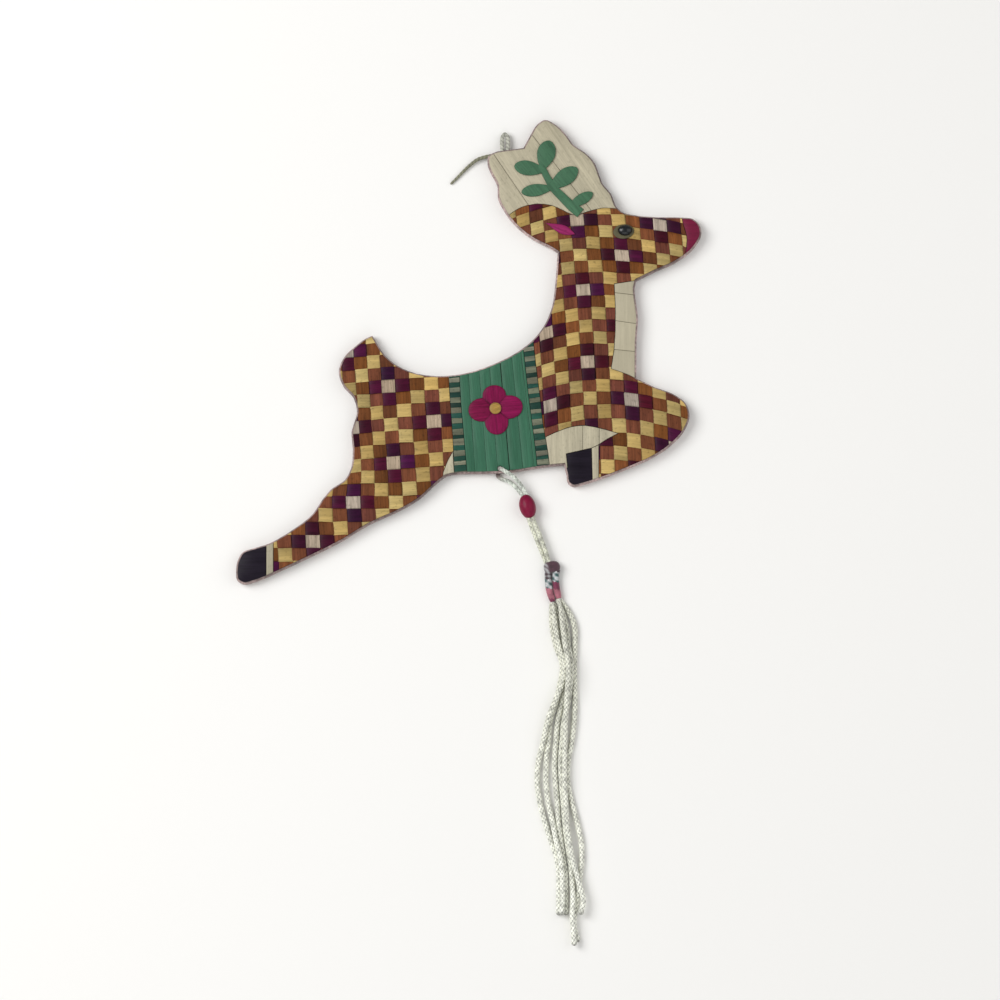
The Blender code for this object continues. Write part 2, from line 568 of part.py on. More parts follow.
def cord_hole(cutters):
    """The cutter for the hole through the board and the saddle."""
    if "cord_hole" in bpy.data.objects:
        return bpy.data.objects["cord_hole"]
    hole = oval(HOLE, CORD_THICK + 0.4, CORD_THICK + 0.4, sides=16)
    return hide_cutter(plate("cord_hole", hole, -1.0, STRAW_TOP + 1.0, cutters))


def make_panels(parts, cutters, outline):
    """The plain and the woven straw panels, each cut to the rim and back from its neighbours."""
    blank = plate("face_blank", grown(outline, -STRAW_INSET), STRAW_LOW - 1, STRAW_TOP + 1, cutters)
    hide_cutter(blank)
    regions = straw_regions()
    panels = {}
    for name, (region, material) in regions.items():
        panels[name] = finish(plate(name, region, STRAW_LOW, STRAW_TOP, parts), material)
    sides = {
        "woven_hindquarters": [(-70, 10), (-70, -70), (-3.6, -70), (-4.6, 10)],
        "woven_forequarters": [(5, 45), (5, 30), (16.5, 8), (20.5, -20), (22, -40), (70, -40), (70, 45)],
    }
    for name, cells, place in (
        ("woven_hindquarters", HIND_CELLS, hind_weave),
        ("woven_forequarters", FORE_CELLS, fore_weave),
    ):
        panels[name] = finish(woven_sheet(name, cells, place, parts), "woven_straw")
        side = [Vector(corner) for corner in sides[name]]
        combine(panels[name], hide_cutter(plate(f"{name}_side", side, 0, 6, cutters)), "INTERSECT")
    for name, panel in panels.items():
        combine(panel, blank, "INTERSECT")
        for neighbour in CUT_BACK_FROM.get(name, ()):
            kerf = bpy.data.objects.get(f"{neighbour}_kerf")
            if not kerf:
                region = grown(regions[neighbour][0], KERF)
                kerf = hide_cutter(plate(f"{neighbour}_kerf", region, 0, 6, cutters))
            combine(panel, kerf, "DIFFERENCE")
    combine(panels["saddle_panel"], cord_hole(cutters), "DIFFERENCE")


def make_sprig(parts, cutters):
    """The stem and its leaves, cut as one piece."""
    stem = ribbon(smooth(STEM, 1.0), (2.9, STEM_WIDE))
    sprig = plate("antler_sprig", stem, ON_PLAIN, ON_PLAIN + TRIM_THICK, parts)
    for k, (start, tip, width) in enumerate(LEAVES, 1):
        leaf = paddle(start, tip, width, fullness=0.55)
        shape = plate(f"leaf_{k}", leaf, ON_PLAIN, ON_PLAIN + TRIM_THICK, cutters)
        combine(sprig, hide_cutter(shape), "UNION")
    return finish(sprig, "green_straw")


def petal(reach, turn):
    """A petal's outline: straight sides out to its shoulders, then a broad round end."""
    along = Vector((math.cos(math.radians(turn)), math.sin(math.radians(turn))))
    side = Vector((-along.y, along.x))
    found = [along * 0.4]
    for k in range(11):
        a = math.radians(-90 + 18 * k)
        out = PETAL_SHOULDER + (reach - PETAL_SHOULDER) * abs(math.cos(a)) ** 0.85
        found.append(along * out + side * PETAL_WIDE / 2 * math.sin(a))
    return [Vector(FLOWER_CENTRE) + point for point in found]


def make_flower(parts):
    """Four petals round a disc."""
    top = ON_PLAIN + TRIM_THICK
    for k, (reach, turn) in enumerate(zip(PETAL_REACH, PETAL_TURN), 1):
        finish(plate(f"flower_petal_{k}", petal(reach, turn), ON_PLAIN, top, parts), "magenta_straw")
    disc = oval(FLOWER_CENTRE, FLOWER_DISC, FLOWER_DISC, sides=20)
    finish(plate("flower_centre", disc, top + GLUE, top + GLUE + TRIM_THICK, parts), "gold_straw")


def make_face(parts):
    """The ear, and the eye on its card ring."""
    ear = paddle((21.2, 36.2), (29.7, 32.9), 2.6)
    finish(plate("ear", ear, ON_WEAVE, ON_WEAVE + TRIM_THICK, parts), "pink_straw")
    ring = oval((43.3, 33.7), 5.9, 4.1, turn=6)
    finish(plate("eye_ring", ring, ON_WEAVE, ON_WEAVE + 0.3, parts), "dull_card")
    bpy.ops.mesh.primitive_uv_sphere_add(segments=16, ring_count=8, radius=1.0)
    eye = bpy.context.object
    eye.name = eye.data.name = "eye"
    low = ON_WEAVE + 0.3 + GLUE
    for vert in eye.data.vertices:
        x, y, z = vert.co
        vert.co = (x * 2.2 * MM, y * 1.65 * MM, (z * 1.1 if z > 0 else z * 0.12) * MM)
    eye.location = (43.7 * MM, 34.0 * MM, (low + 0.12) * MM)
    for collection in list(eye.users_collection):
        collection.objects.unlink(eye)
    parts.objects.link(eye)
    finish(eye, "black_glass")


def make_bead(parts):
    """An oval bead with a bore for the doubled cord, turned about its own length."""
    half, radius, bore = BEAD["half_long"], BEAD["radius"], BEAD["bore"]
    cut = half * math.sqrt(1 - (bore / radius) ** 2)
    work = bmesh.new()
    steps = 8
    profile = []
    for k in range(steps + 1):
        height = cut * math.cos(math.pi * k / steps)
        profile.append((radius * math.sqrt(1 - (height / half) ** 2), height))
    profile[0], profile[-1] = (bore, cut), (bore, -cut)
    verts = [work.verts.new((r * MM, 0, z * MM)) for r, z in profile]
    for a, b in zip(verts, verts[1:] + verts[:1]):
        work.edges.new((a, b))
    mesh = bpy.data.meshes.new("tassel_bead")
    work.to_mesh(mesh)
    work.free()
    bead = bpy.data.objects.new("tassel_bead", mesh)
    parts.objects.link(bead)
    screw = bead.modifiers.new("turn", "SCREW")
    screw.steps = screw.render_steps = 18
    screw.use_merge_vertices = True
    screw.merge_threshold = 0.00001
    bead.location = Vector(BEAD["centre"]) * MM
    bead.rotation_euler = (math.radians(90), 0, math.radians(BEAD["lean"]))
    return finish(bead, "painted_bead")


def wrap_radius(share):
    """A wrap's radius as a share of its largest: it swells to the strands, with a ridge each turn."""
    start, end = WRAP_RADII
    swell = start + (end - start) * share * share
    ridge = 1.0 if round(share * 2 * WRAP_TURNS) % 2 else 0.93
    return swell / end * ridge


def make_tassel_head(parts, cutters):
    """The cap over the cord's ends and its two thread-wrapped legs."""
    cap_mesh = bpy.data.meshes.new("tassel_cap")
    work = bmesh.new()
    bmesh.ops.create_cube(work, size=1.0)
    for vert in work.verts:
        vert.co = [c * size * 1.16 * MM for c, size in zip(vert.co, CAP["size"])]
    work.to_mesh(cap_mesh)
    work.free()
    cap = bpy.data.objects.new("tassel_cap", cap_mesh)
    cap.location = Vector(CAP["centre"]) * MM
    cap.rotation_euler.z = math.radians(CAP["turn"])
    parts.objects.link(cap)
    round_off = cap.modifiers.new("round_off", "SUBSURF")
    round_off.levels = round_off.render_levels = 2
    finish(cap, "wrapping_thread")
    for side, knots in (("left", WRAP_LEFT), ("right", WRAP_RIGHT)):
        length = sum((Vector(b) - Vector(a)).length for a, b in zip(knots, knots[1:]))
        step = length / (2 * WRAP_TURNS)
        wrap = tube(f"tassel_wrap_{side}", knots, 2 * WRAP_RADII[1], parts, step, wrap_radius)
        finish(wrap, "wrapping_thread")
        pocket(cap, f"wrap_pocket_{side}", knots[0], knots[1], 2 * WRAP_RADII[0], cutters)
    pocket(cap, "cord_pocket_left", TASSEL_CORD[-1], TASSEL_CORD[-2], CORD_THICK, cutters)
    pocket(cap, "cord_pocket_right", TASSEL_CORD[0], TASSEL_CORD[1], CORD_THICK, cutters)


def loose_end_radius(share):
    """The loose end thins towards its tip."""
    return 1.0 - 0.4 * share


def strand_radius(share):
    """A strand swells to its full thickness just past the wrap."""
    return min(1.0, STRAND_WRAPPED + share * 8)


def make_cords(parts):
    """The hanging loop, the loose end beside it, the doubled cord and the tassel's strands."""
    finish(tube("hanger_loop", LOOP, CORD_THICK, parts, 1.0), "cotton_cord")
    finish(tube("hanger_loose_end", LOOSE_END, CORD_THICK, parts, 2.0, loose_end_radius), "grey_cord")
    finish(tube("tassel_cord", TASSEL_CORD, CORD_THICK, parts, 2.2), "cotton_cord")
    for k, knots in enumerate(STRANDS, 1):
        strand = tube(f"tassel_strand_{k}", knots, STRAND_THICK, parts, 4.2, strand_radius)
        finish(strand, "cotton_cord")


def main():
    clear_scene()
    make_finishes()
    parts = new_collection("woven_reindeer_ornament")
    cutters = new_collection("cutters")
    outline = body_outline()
    make_board(parts, cutters, outline)
    make_panels(parts, cutters, outline)
    make_sprig(parts, cutters)
    make_flower(parts)
    make_face(parts)
    make_cords(parts)
    make_bead(parts)
    make_tassel_head(parts, cutters)


main()
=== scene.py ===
"""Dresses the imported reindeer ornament: woven and plain straw over a bound board, with a braided tassel.

Run as a script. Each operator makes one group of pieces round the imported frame, and the sidebar panel
lists them. Sizes in the tables below are in millimetres, and MM turns them into metres.
"""

import math
import random

import bmesh
import bpy
import numpy as np
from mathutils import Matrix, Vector


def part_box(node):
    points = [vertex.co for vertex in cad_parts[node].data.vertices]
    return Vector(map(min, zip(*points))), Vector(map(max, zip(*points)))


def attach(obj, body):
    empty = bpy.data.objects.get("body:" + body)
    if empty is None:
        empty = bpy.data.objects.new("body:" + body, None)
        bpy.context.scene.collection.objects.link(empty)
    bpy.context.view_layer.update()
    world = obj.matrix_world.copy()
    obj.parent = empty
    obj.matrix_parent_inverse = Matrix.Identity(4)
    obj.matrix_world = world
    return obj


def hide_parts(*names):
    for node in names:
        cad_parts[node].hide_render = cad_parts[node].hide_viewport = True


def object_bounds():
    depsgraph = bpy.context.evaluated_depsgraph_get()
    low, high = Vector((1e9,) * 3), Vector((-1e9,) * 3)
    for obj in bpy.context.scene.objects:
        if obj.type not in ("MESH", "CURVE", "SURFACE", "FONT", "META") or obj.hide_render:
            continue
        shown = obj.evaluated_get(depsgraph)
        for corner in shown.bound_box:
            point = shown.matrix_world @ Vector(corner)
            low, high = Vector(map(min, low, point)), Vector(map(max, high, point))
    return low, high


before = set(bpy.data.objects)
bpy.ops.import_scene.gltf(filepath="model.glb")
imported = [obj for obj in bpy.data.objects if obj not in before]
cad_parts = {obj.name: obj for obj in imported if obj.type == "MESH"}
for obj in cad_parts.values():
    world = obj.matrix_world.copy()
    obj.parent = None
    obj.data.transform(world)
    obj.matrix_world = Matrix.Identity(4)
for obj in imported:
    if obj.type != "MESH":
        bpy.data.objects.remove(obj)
CAD_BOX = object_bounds()

bl_info = {
    "name": "Woven Reindeer Ornament",
    "version": (1, 0, 0),
    "blender": (4, 5, 0),
    "location": "3D View > Sidebar > Reindeer",
    "description": "Builds a straw reindeer ornament with a beaded cord tassel",
    "category": "Add Mesh",
}

MM = 0.001
BODY = "root"

# The woven check. A cell is named by its column and row, and (0, 0) is a pale one in each panel.
HIND_CELLS = {"columns": (-12, 6), "rows": (-5, 17)}
FORE_CELLS = {"columns": (-5, 9), "rows": (-9, 16)}

# The hind weave, counted from the cream cell on the haunch
HAUNCH = (-22.7, -10.1)
HIND_STRIP_FRONT = 4.0  # the upright strips' pitch in front of the haunch
HIND_STRIP_REAR = 3.6  # behind it, where they crowd towards the rump
HIND_ROW = 3.6  # the level strips' pitch down the flank
HIND_RISE = 0.3  # a row rises this much a strip to the front, and runs level in the leg
HIND_LEAN = 0.25  # an upright strip moves this much to the front a row
LEG_STRIP = 4.0
LEG_ROW = 3.7
LEG_ROWS = (6, 9)  # the flank's weave turns into the leg's between these rows

# The fore weave, counted from the cream cell on the neck
NECK = (32.0, 17.2)
FORE_STRIP_FRONT = 3.9
FORE_STRIP_REAR = 3.7
HEAD_ROW = 3.3  # the rows' pitch above the neck's cream cell
NECK_ROW = 3.4
KNEE_ROW = 3.9
KNEE_FROM = 9  # the knee's wide rows start here
HEAD_LEAN = 0.3
NECK_LEAN = 0.2
CREST = 1  # the rows are highest at this strip and sag both ways
SAG_REAR = 0.14  # a row's drop, times the square of the strips away from the crest
SAG_FRONT = 0.06
SAG_KNEE = 0.12
KNEE_ROWS = (4, 8)  # the front sag turns into the knee's between these rows
ALONG_STRIP = (-0.56, -0.5, -0.44, -0.3, 0.0, 0.3, 0.44, 0.5, 0.56)  # samples of one crossing, in cells
ACROSS_STRIP = (-0.5, -0.46, -0.25, 0.0, 0.25, 0.46, 0.5)
SLIVER = 0.2  # a cut that leaves less of a strip than this may lose it
TILE_FOOT = 3.07  # the height of a woven tile's underside
NEAR_EDGE = 5  # a tile this near a point of its panel's outline may cross it
LEAST_FACES = 1500  # a woven panel with fewer has lost its tiles in the trimming
PAINTED_WALL_SHADE = 0.72  # painted shade: how much darker a straw strip's cut sides are drawn
WIDE_OPEN = 5  # how many times wider than the rest a panel's open seam is
FLOOR_GAP = 0.02

# Routes of the cords, as the part's source has them
STRANDS = [
    [(23.3, -70.9, 1.65), (23.6, -73.3, 2.1), (24.0, -77.3, 2.4), (25.0, -82.9, 2.4), (26.8, -88.6, 2.35),
     (25.8, -94.2, 2.5), (24.0, -98.5, 2.5), (21.9, -104.1, 2.4), (20.7, -109.7, 1.8), (19.3, -115.4, 0.9),
     (19.0, -121.0, 0.85), (19.7, -126.7, 0.85), (21.1, -132.3, 0.85), (22.9, -137.9, 0.85),
     (24.2, -141.6, 0.85), (24.9, -145.8, 0.85), (25.0, -150.6, 0.85), (24.9, -158.4, 0.85)],
    [(22.8, -70.9, 0.85), (22.9, -73.3, 0.82), (23.1, -77.3, 0.85), (24.2, -82.9, 0.85),
     (26.0, -88.6, 0.85), (25.2, -94.2, 0.85), (24.3, -98.5, 0.85), (22.6, -104.1, 0.85),
     (22.1, -109.7, 0.85), (21.5, -115.4, 0.85), (21.4, -121.0, 0.85), (22.0, -126.7, 0.9),
     (23.2, -132.3, 1.3), (24.3, -137.9, 2.1), (25.2, -141.6, 2.45), (25.8, -145.8, 2.45),
     (26.0, -150.6, 2.4), (25.8, -158.4, 2.35)],
    [(23.8, -70.9, 0.85), (24.4, -73.3, 0.82), (25.0, -77.3, 0.85), (26.0, -82.9, 0.85),
     (27.7, -88.6, 0.85), (26.9, -94.2, 0.85), (26.0, -98.5, 0.85), (24.7, -104.1, 0.85),
     (24.2, -109.7, 0.85), (23.8, -115.4, 0.85), (24.0, -121.0, 0.85), (24.5, -126.7, 0.85),
     (24.9, -132.3, 0.85), (25.6, -137.9, 0.85), (26.1, -141.6, 0.85), (26.7, -145.8, 0.85),
     (26.9, -150.6, 0.85), (26.9, -158.4, 0.85)],
    [(24.5, -69.9, 0.9), (25.9, -73.0, 1.1), (27.1, -77.3, 1.1), (27.7, -82.9, 1.5), (28.6, -88.6, 2.3),
     (28.15, -94.2, 2.1), (27.7, -98.5, 1.1), (26.4, -104.1, 0.85), (25.9, -109.7, 0.85),
     (25.5, -115.4, 0.85), (25.7, -121.0, 0.85), (26.2, -126.7, 0.85), (26.6, -132.3, 0.85),
     (27.3, -137.9, 0.85), (27.8, -141.6, 0.85), (28.4, -145.8, 0.85), (28.7, -150.0, 1.5),
     (28.9, -154.0, 2.3), (28.7, -158.4, 2.4), (28.9, -162.5, 2.4), (29.3, -167.0, 2.0)],
    [(25.0, -69.9, 1.7), (25.6, -73.0, 2.7), (26.1, -77.3, 2.75), (26.8, -82.9, 3.2), (27.7, -88.6, 3.75),
     (27.5, -94.2, 3.6), (27.2, -98.5, 2.7), (26.9, -104.1, 2.55), (26.7, -109.7, 2.45),
     (26.6, -115.4, 2.4), (26.6, -121.0, 2.4), (26.9, -126.7, 2.4), (27.2, -132.3, 2.4),
     (27.9, -137.9, 2.4), (28.5, -141.6, 2.4), (29.6, -145.8, 2.45), (30.8, -150.3, 2.5),
     (31.8, -154.3, 2.4), (31.0, -158.4, 2.4)],
    [(25.6, -69.9, 0.9), (27.6, -73.0, 0.85), (29.4, -77.3, 0.85), (29.5, -82.9, 0.85), (29.4, -88.6, 0.85),
     (29.45, -94.2, 0.85), (29.5, -98.5, 0.85), (29.3, -104.1, 0.85), (28.6, -109.7, 0.85),
     (27.6, -115.4, 0.85), (27.5, -121.0, 0.85), (28.6, -126.7, 0.85), (30.0, -132.3, 0.85),
     (31.2, -137.9, 0.85), (31.4, -142.5, 0.85), (31.0, -147.0, 0.85), (30.5, -151.0, 0.85),
     (29.9, -155.5, 0.85), (29.2, -160.5, 0.85), (30.4, -165.9, 0.85)],
]
TASSEL_CORD = [
    (22.45, -60.3, 2.1), (22.1, -58.9, 2.1), (21.2, -56.0, 2.2), (19.8, -52.2, 2.3), (18.25, -48.4, 2.35),
    (17.0, -44.2, 2.4), (16.15, -40.8, 2.45), (15.1, -38.9, 2.6), (13.7, -37.0, 3.1), (11.9, -35.3, 4.0),
    (10.2, -34.3, 4.4), (9.1, -33.6, 4.4), (8.6, -33.3, 3.7), (8.6, -33.3, 2.4), (8.5, -33.4, 1.2),
    (8.1, -34.1, 0.75), (8.1, -35.2, 0.75), (9.1, -36.0, 0.9), (10.7, -36.5, 1.3), (12.4, -37.8, 1.8),
    (13.8, -39.35, 2.1), (14.9, -41.0, 2.25), (15.75, -44.2, 2.3), (17.05, -48.7, 2.2), (18.6, -52.6, 1.8),
    (20.1, -56.3, 1.4), (21.2, -59.0, 1.1), (21.75, -60.5, 1.1),
]
LOOP = [(9.3, 55.9, 1.5), (9.2, 57.6, 1.5), (9.15, 59.7, 1.5), (9.4, 61.2, 1.5), (10.0, 61.75, 1.5),
        (10.6, 61.2, 1.5), (10.85, 59.7, 1.5), (10.8, 57.6, 1.5), (10.7, 55.9, 1.5)]
LOOSE_END = [(7.6, 55.8, 1.4), (4.9, 55.4, 1.4), (2.4, 54.65, 1.2), (0.15, 53.05, 0.8), (-1.8, 51.2, 0.65),
             (-3.8, 49.15, 0.5), (-5.35, 47.65, 0.5)]
WRAP_LEFT = [(22.1, -61.8, 1.3), (22.1, -64.2, 1.2), (22.35, -67.1, 1.15), (23.4, -70.5, 1.1)]
WRAP_RIGHT = [(24.4, -61.6, 1.4), (24.2, -64.2, 1.3), (24.45, -66.9, 1.25), (25.1, -69.6, 1.2)]
BEAD = {"centre": (16.3, -43.9, 2.37), "lean": 14.0, "half_long": 3.5, "radius": 2.28, "bore": (1.35, 0.72)}
CAP = {"centre": (23.1, -60.8, 1.6), "size": (4.7, 3.4, 3.1), "turn": 6.0}

# Seams in the plain straw, each through two points
ANTLER_SEAMS = [((6.9, 55.6), (16.4, 41.6)), ((18.3, 60.4), (34.0, 40.1))]
THROAT_SEAMS = [((47, 15.7), (41, 16.4)), ((47, 7.6), (41, 8.5)), ((47, -0.3), (41, 0.3))]
BELLY_SEAMS = [((31.8, -20.0), (31.6, -36.0)), ((36.5, -20.0), (36.2, -36.0))]
SADDLE_SEAMS = [((x, -4.0), (x + slant, -34.0)) for x, slant in (
    (-0.4, 2.0), (2.6, 2.3), (5.6, 2.4), (8.7, 2.6), (12.1, 3.0), (14.9, 3.4))]


def linear(hex_colour):
    """An sRGB hex colour as linear red, green and blue."""
    channels = [int(hex_colour[i : i + 2], 16) / 255 for i in (0, 2, 4)]
    return tuple(c / 12.92 if c <= 0.04045 else ((c + 0.055) / 1.055) ** 2.4 for c in channels)


# ---------------------------------------------------------------- settings


def length(name, description, default_mm):
    """A length property, given in millimetres."""
    return bpy.props.FloatProperty(
        name=name, description=description, default=default_mm * MM, min=0.0, precision=5, unit="LENGTH"
    )


def colour(name, description, hex_colour):
    return bpy.props.FloatVectorProperty(
        name=name, description=description, default=linear(hex_colour), size=3, min=0, max=1, subtype="COLOR"
    )


class ReindeerSizes(bpy.types.PropertyGroup):
    """Sizes that a maker would change."""

    weave_rise: length("Weave rise", "How far a woven strip bulges between its neighbours", 0.27)
    weave_low: length("Weave low", "Height of the woven strips where they dive", 3.52)
    seam: length("Seam", "Gap between two strips of plain straw", 0.05)
    edge_round: length("Edge rounding", "Rounding of a cut straw edge", 0.14)
    strand: length("Strand", "Thickness of a braided strand", 1.6)
    cord: length("Cord", "Thickness of the doubled cord", 1.22)
    braid_pitch: length("Braid pitch", "Length of one repeat of the braid", 1.35)
    thread: length("Thread", "Thickness of the wrapping thread", 0.36)


class ReindeerColours(bpy.types.PropertyGroup):
    """Dyes of the straw and the cords."""

    yellow: colour("Yellow", "Woven straw dyed yellow", "B59B60")
    brown: colour("Brown", "Woven straw dyed brown", "714128")
    plum: colour("Plum", "Woven straw dyed plum", "3E0628")
    cream: colour("Cream", "Pale woven straw", "AD9D8B")
    natural: colour("Natural", "Undyed straw", "B4AC94")
    green: colour("Green", "Straw of the saddle", "386850")
    leaf: colour("Leaf", "Straw of the leaf sprig", "456E52")
    teal: colour("Teal", "Dark stripes of the saddle's borders", "1B493E")
    grey: colour("Grey", "Light stripes of the saddle's borders", "7F826D")
    magenta: colour("Magenta", "Straw of the flower", "7E0E44")
    wine: colour("Wine", "Straw of the nose", "741438")
    pink: colour("Pink", "Straw of the ear", "92265E")
    black: colour("Black", "Straw of the hoofs", "1D1722")
    gold: colour("Gold", "Straw of the flower's centre", "AA8844")
    binding: colour("Binding", "Cloth that binds the board", "BFA6A2")
    # Painted shade for the shadowed gap between the binding and the straw
    gap_shade: colour("Gap_shade line", "Cloth darkened by glue beside the straw", "4A2C30")
    cotton: colour("Cotton", "Braided cotton", "E6E6D6")
    bead: colour("Bead", "Lacquer of the bead", "7C0C34")


# ---------------------------------------------------------------- materials


def add_node(tree, kind, inputs=None, **settings):
    """Adds a node with its settings, and sets or links its inputs."""
    node = tree.nodes.new(kind)
    for key, value in settings.items():
        setattr(node, key, value)
    for key, value in (inputs or {}).items():
        if isinstance(value, bpy.types.NodeSocket):
            tree.links.new(value, node.inputs[key])
        else:
            node.inputs[key].default_value = value
    return node


def new_material(name):
    """A material with one shader, and its tree and shader."""
    material = bpy.data.materials.new(name)
    material.use_nodes = True
    tree = material.node_tree
    return material, tree, tree.nodes["Principled BSDF"]


def noise(tree, at, scale=1.0, detail=2.0, roughness=0.5):
    """A noise's value where at lies, at a scale, from 0 to 1 and mostly near the middle."""
    inputs = {"Vector": at, "Scale": scale, "Detail": detail, "Roughness": roughness}
    return add_node(tree, "ShaderNodeTexNoise", inputs).outputs["Fac"]


def stretched(tree, at, along, across):
    """Places in the grain, scaled along and across it."""
    return add_node(tree, "ShaderNodeMapping", {"Vector": at, "Scale": (along, across, 1.0)}).outputs[0]


def ranged(tree, value, came, goes):
    """A value mapped from one range to another, and held at its ends."""
    inputs = {"Value": value, "From Min": came[0], "From Max": came[1], "To Min": goes[0], "To Max": goes[1]}
    return add_node(tree, "ShaderNodeMapRange", inputs).outputs[0]


def times(tree, first, second):
    return add_node(tree, "ShaderNodeMath", {0: first, 1: second}, operation="MULTIPLY").outputs[0]


def colour_it(tree, shader, dye, tone):
    """Gives the shader a dye made lighter and darker by tone."""
    shade = add_node(tree, "ShaderNodeVectorMath", {0: dye, "Scale": tone}, operation="SCALE")
    tree.links.new(shade.outputs[0], shader.inputs["Base Color"])


def roughen(tree, shader, height, strength, depth_mm):
    """Bumps the shader by a height."""
    inputs = {"Height": height, "Strength": strength, "Distance": depth_mm * MM}
    bump = add_node(tree, "ShaderNodeBump", inputs)
    tree.links.new(bump.outputs[0], shader.inputs["Normal"])


def set_shader(shader, **values):
    """Sets the shader's own values. An underscore stands for a space in an input's name."""
    for key, value in values.items():
        shader.inputs[key.replace("_", " ")].default_value = value


def dyed_straw(name, roughness=0.46, fibre=1.0, gloss=0.22, flecks=0.2, bands=0.13, per_mm=2.2):
    """Split wheat straw, dyed and ironed flat: satin, with fibres along it that catch the light.

    Its colour is the "dye" attribute, whose alpha says how strongly the fibres show; the pieces darken it
    with painted shade on their cut sides, edges and where strips dive. "grain" maps the fibres: millimetres
    along them, then across. A fibre is about 0.1 mm wide, which is too fine to show, so they are drawn
    about 0.45 mm wide.
    """
    material, tree, shader = new_material(name)
    grain = add_node(tree, "ShaderNodeUVMap", uv_map="grain").outputs["UV"]
    dye = add_node(tree, "ShaderNodeAttribute", attribute_name="dye")
    fibres = noise(tree, stretched(tree, grain, 0.12, per_mm), detail=3.0, roughness=0.6)
    band = noise(tree, stretched(tree, grain, 0.05, 0.55))
    fleck = noise(tree, stretched(tree, grain, 0.9, 1.7), detail=4.0)
    fibre_tone = ranged(tree, fibres, (0.32, 0.68), (-0.42 * fibre, 0.22 * fibre))
    fibre_tone = add_node(
        tree, "ShaderNodeMath", {0: fibre_tone, 1: dye.outputs["Alpha"], 2: 1.0}, operation="MULTIPLY_ADD"
    ).outputs[0]
    band_tone = ranged(tree, band, (0.3, 0.7), (1 - bands, 1 + bands))
    fleck_tone = ranged(tree, fleck, (0.56, 0.7), (1.0, 1 - flecks))
    colour_it(tree, shader, dye.outputs["Color"], times(tree, times(tree, fibre_tone, band_tone), fleck_tone))
    rough = ranged(tree, band, (0.3, 0.7), (roughness - 0.07, roughness + 0.09))
    tree.links.new(rough, shader.inputs["Roughness"])
    roughen(tree, shader, fibres, 0.5, 0.06)
    set_shader(shader, IOR=1.5, Specular_IOR_Level=gloss)
    return material


def binding_cloth(colours, rim, rim_line):
    """Thin cotton stuck over the board, plain woven: matt, uneven in its dye, and pale at the rim.

    From the height rim_line up to rim it darkens into painted shade, the board's top drawn dark for the
    shadowed gap beside the straw.
    """
    material, tree, shader = new_material("bound cotton cloth, glued")
    place = add_node(tree, "ShaderNodeTexCoord").outputs["Object"]
    # Threads are about 0.3 mm apart, drawn at 0.6 mm so that they show
    warp, weft = (
        add_node(
            tree, "ShaderNodeTexWave", {"Vector": place, "Scale": 260.0, "Distortion": 1.5, "Detail": 1.0},
            bands_direction=way,
        ).outputs["Fac"]
        for way in ("X", "Y")
    )
    mottled = ranged(tree, noise(tree, place, 420.0, 5.0), (0.32, 0.68), (0.6, 1.25))
    specked = ranged(tree, noise(tree, place, 1500.0), (0.35, 0.6), (0.62, 1.1))
    # Handling has darkened the rim in stretches of about 30 mm
    soiled = ranged(tree, noise(tree, place, 34.0), (0.38, 0.62), (0.5, 1.05))
    height = add_node(tree, "ShaderNodeSeparateXYZ", {"Vector": place}).outputs["Z"]
    # Painted shade: the board's top beside the straw is drawn dark for the shadowed gap there
    painted_gap_shade = ranged(tree, height, (rim_line, rim), (0.0, 1.0))
    inputs = {0: painted_gap_shade, 6: (*colours.binding, 1), 7: (*colours.gap_shade, 1)}
    dye = add_node(tree, "ShaderNodeMix", inputs, data_type="RGBA").outputs[2]
    colour_it(tree, shader, dye, times(tree, times(tree, mottled, specked), soiled))
    roughen(tree, shader, times(tree, warp, weft), 0.4, 0.08)
    set_shader(shader, Roughness=0.82, Sheen_Weight=0.2)
    return material


def spun_cotton(name, sheen=0.3, roughness=0.78, soiled=0.3):
    """Spun cotton, braided or wound: matt with a soft sheen, and with painted shade darker down between the
    yarns.

    Its colour is the "dye" attribute, which the mesh darkens with painted shade in the hollows. Handling has
    soiled it in patches of a millimetre or two.
    """
    material, tree, shader = new_material(name)
    dye = add_node(tree, "ShaderNodeAttribute", attribute_name="dye").outputs["Color"]
    grain = add_node(tree, "ShaderNodeUVMap", uv_map="grain").outputs["UV"]
    place = add_node(tree, "ShaderNodeTexCoord").outputs["Object"]
    # The yarn's filaments are drawn at 0.25 mm
    filaments = noise(tree, stretched(tree, grain, 4.0, 1.2))
    tone = ranged(tree, filaments, (0.3, 0.7), (0.82, 1.12))
    patches = noise(tree, place, 650.0, 3.0)
    patch_tone = ranged(tree, patches, (0.36, 0.56), (1 - soiled, 1 + 0.2 * soiled))
    colour_it(tree, shader, dye, times(tree, tone, patch_tone))
    roughen(tree, shader, filaments, 0.3, 0.05)
    set_shader(shader, Roughness=roughness, Sheen_Weight=sheen)
    return material


def lacquered_wood(colours):
    """Turned wood under tinted lacquer: glossy, with the faint rings of the turning below."""
    material, tree, shader = new_material("lacquered wood, turned")
    rings = noise(tree, add_node(tree, "ShaderNodeTexCoord").outputs["Generated"], 6.0, 3.0)
    colour_it(tree, shader, tuple(colours.bead), ranged(tree, rings, (0.3, 0.7), (0.82, 1.15)))
    set_shader(shader, Roughness=0.45, Specular_IOR_Level=0.2, Coat_Weight=0.08, Coat_Roughness=0.3)
    return material


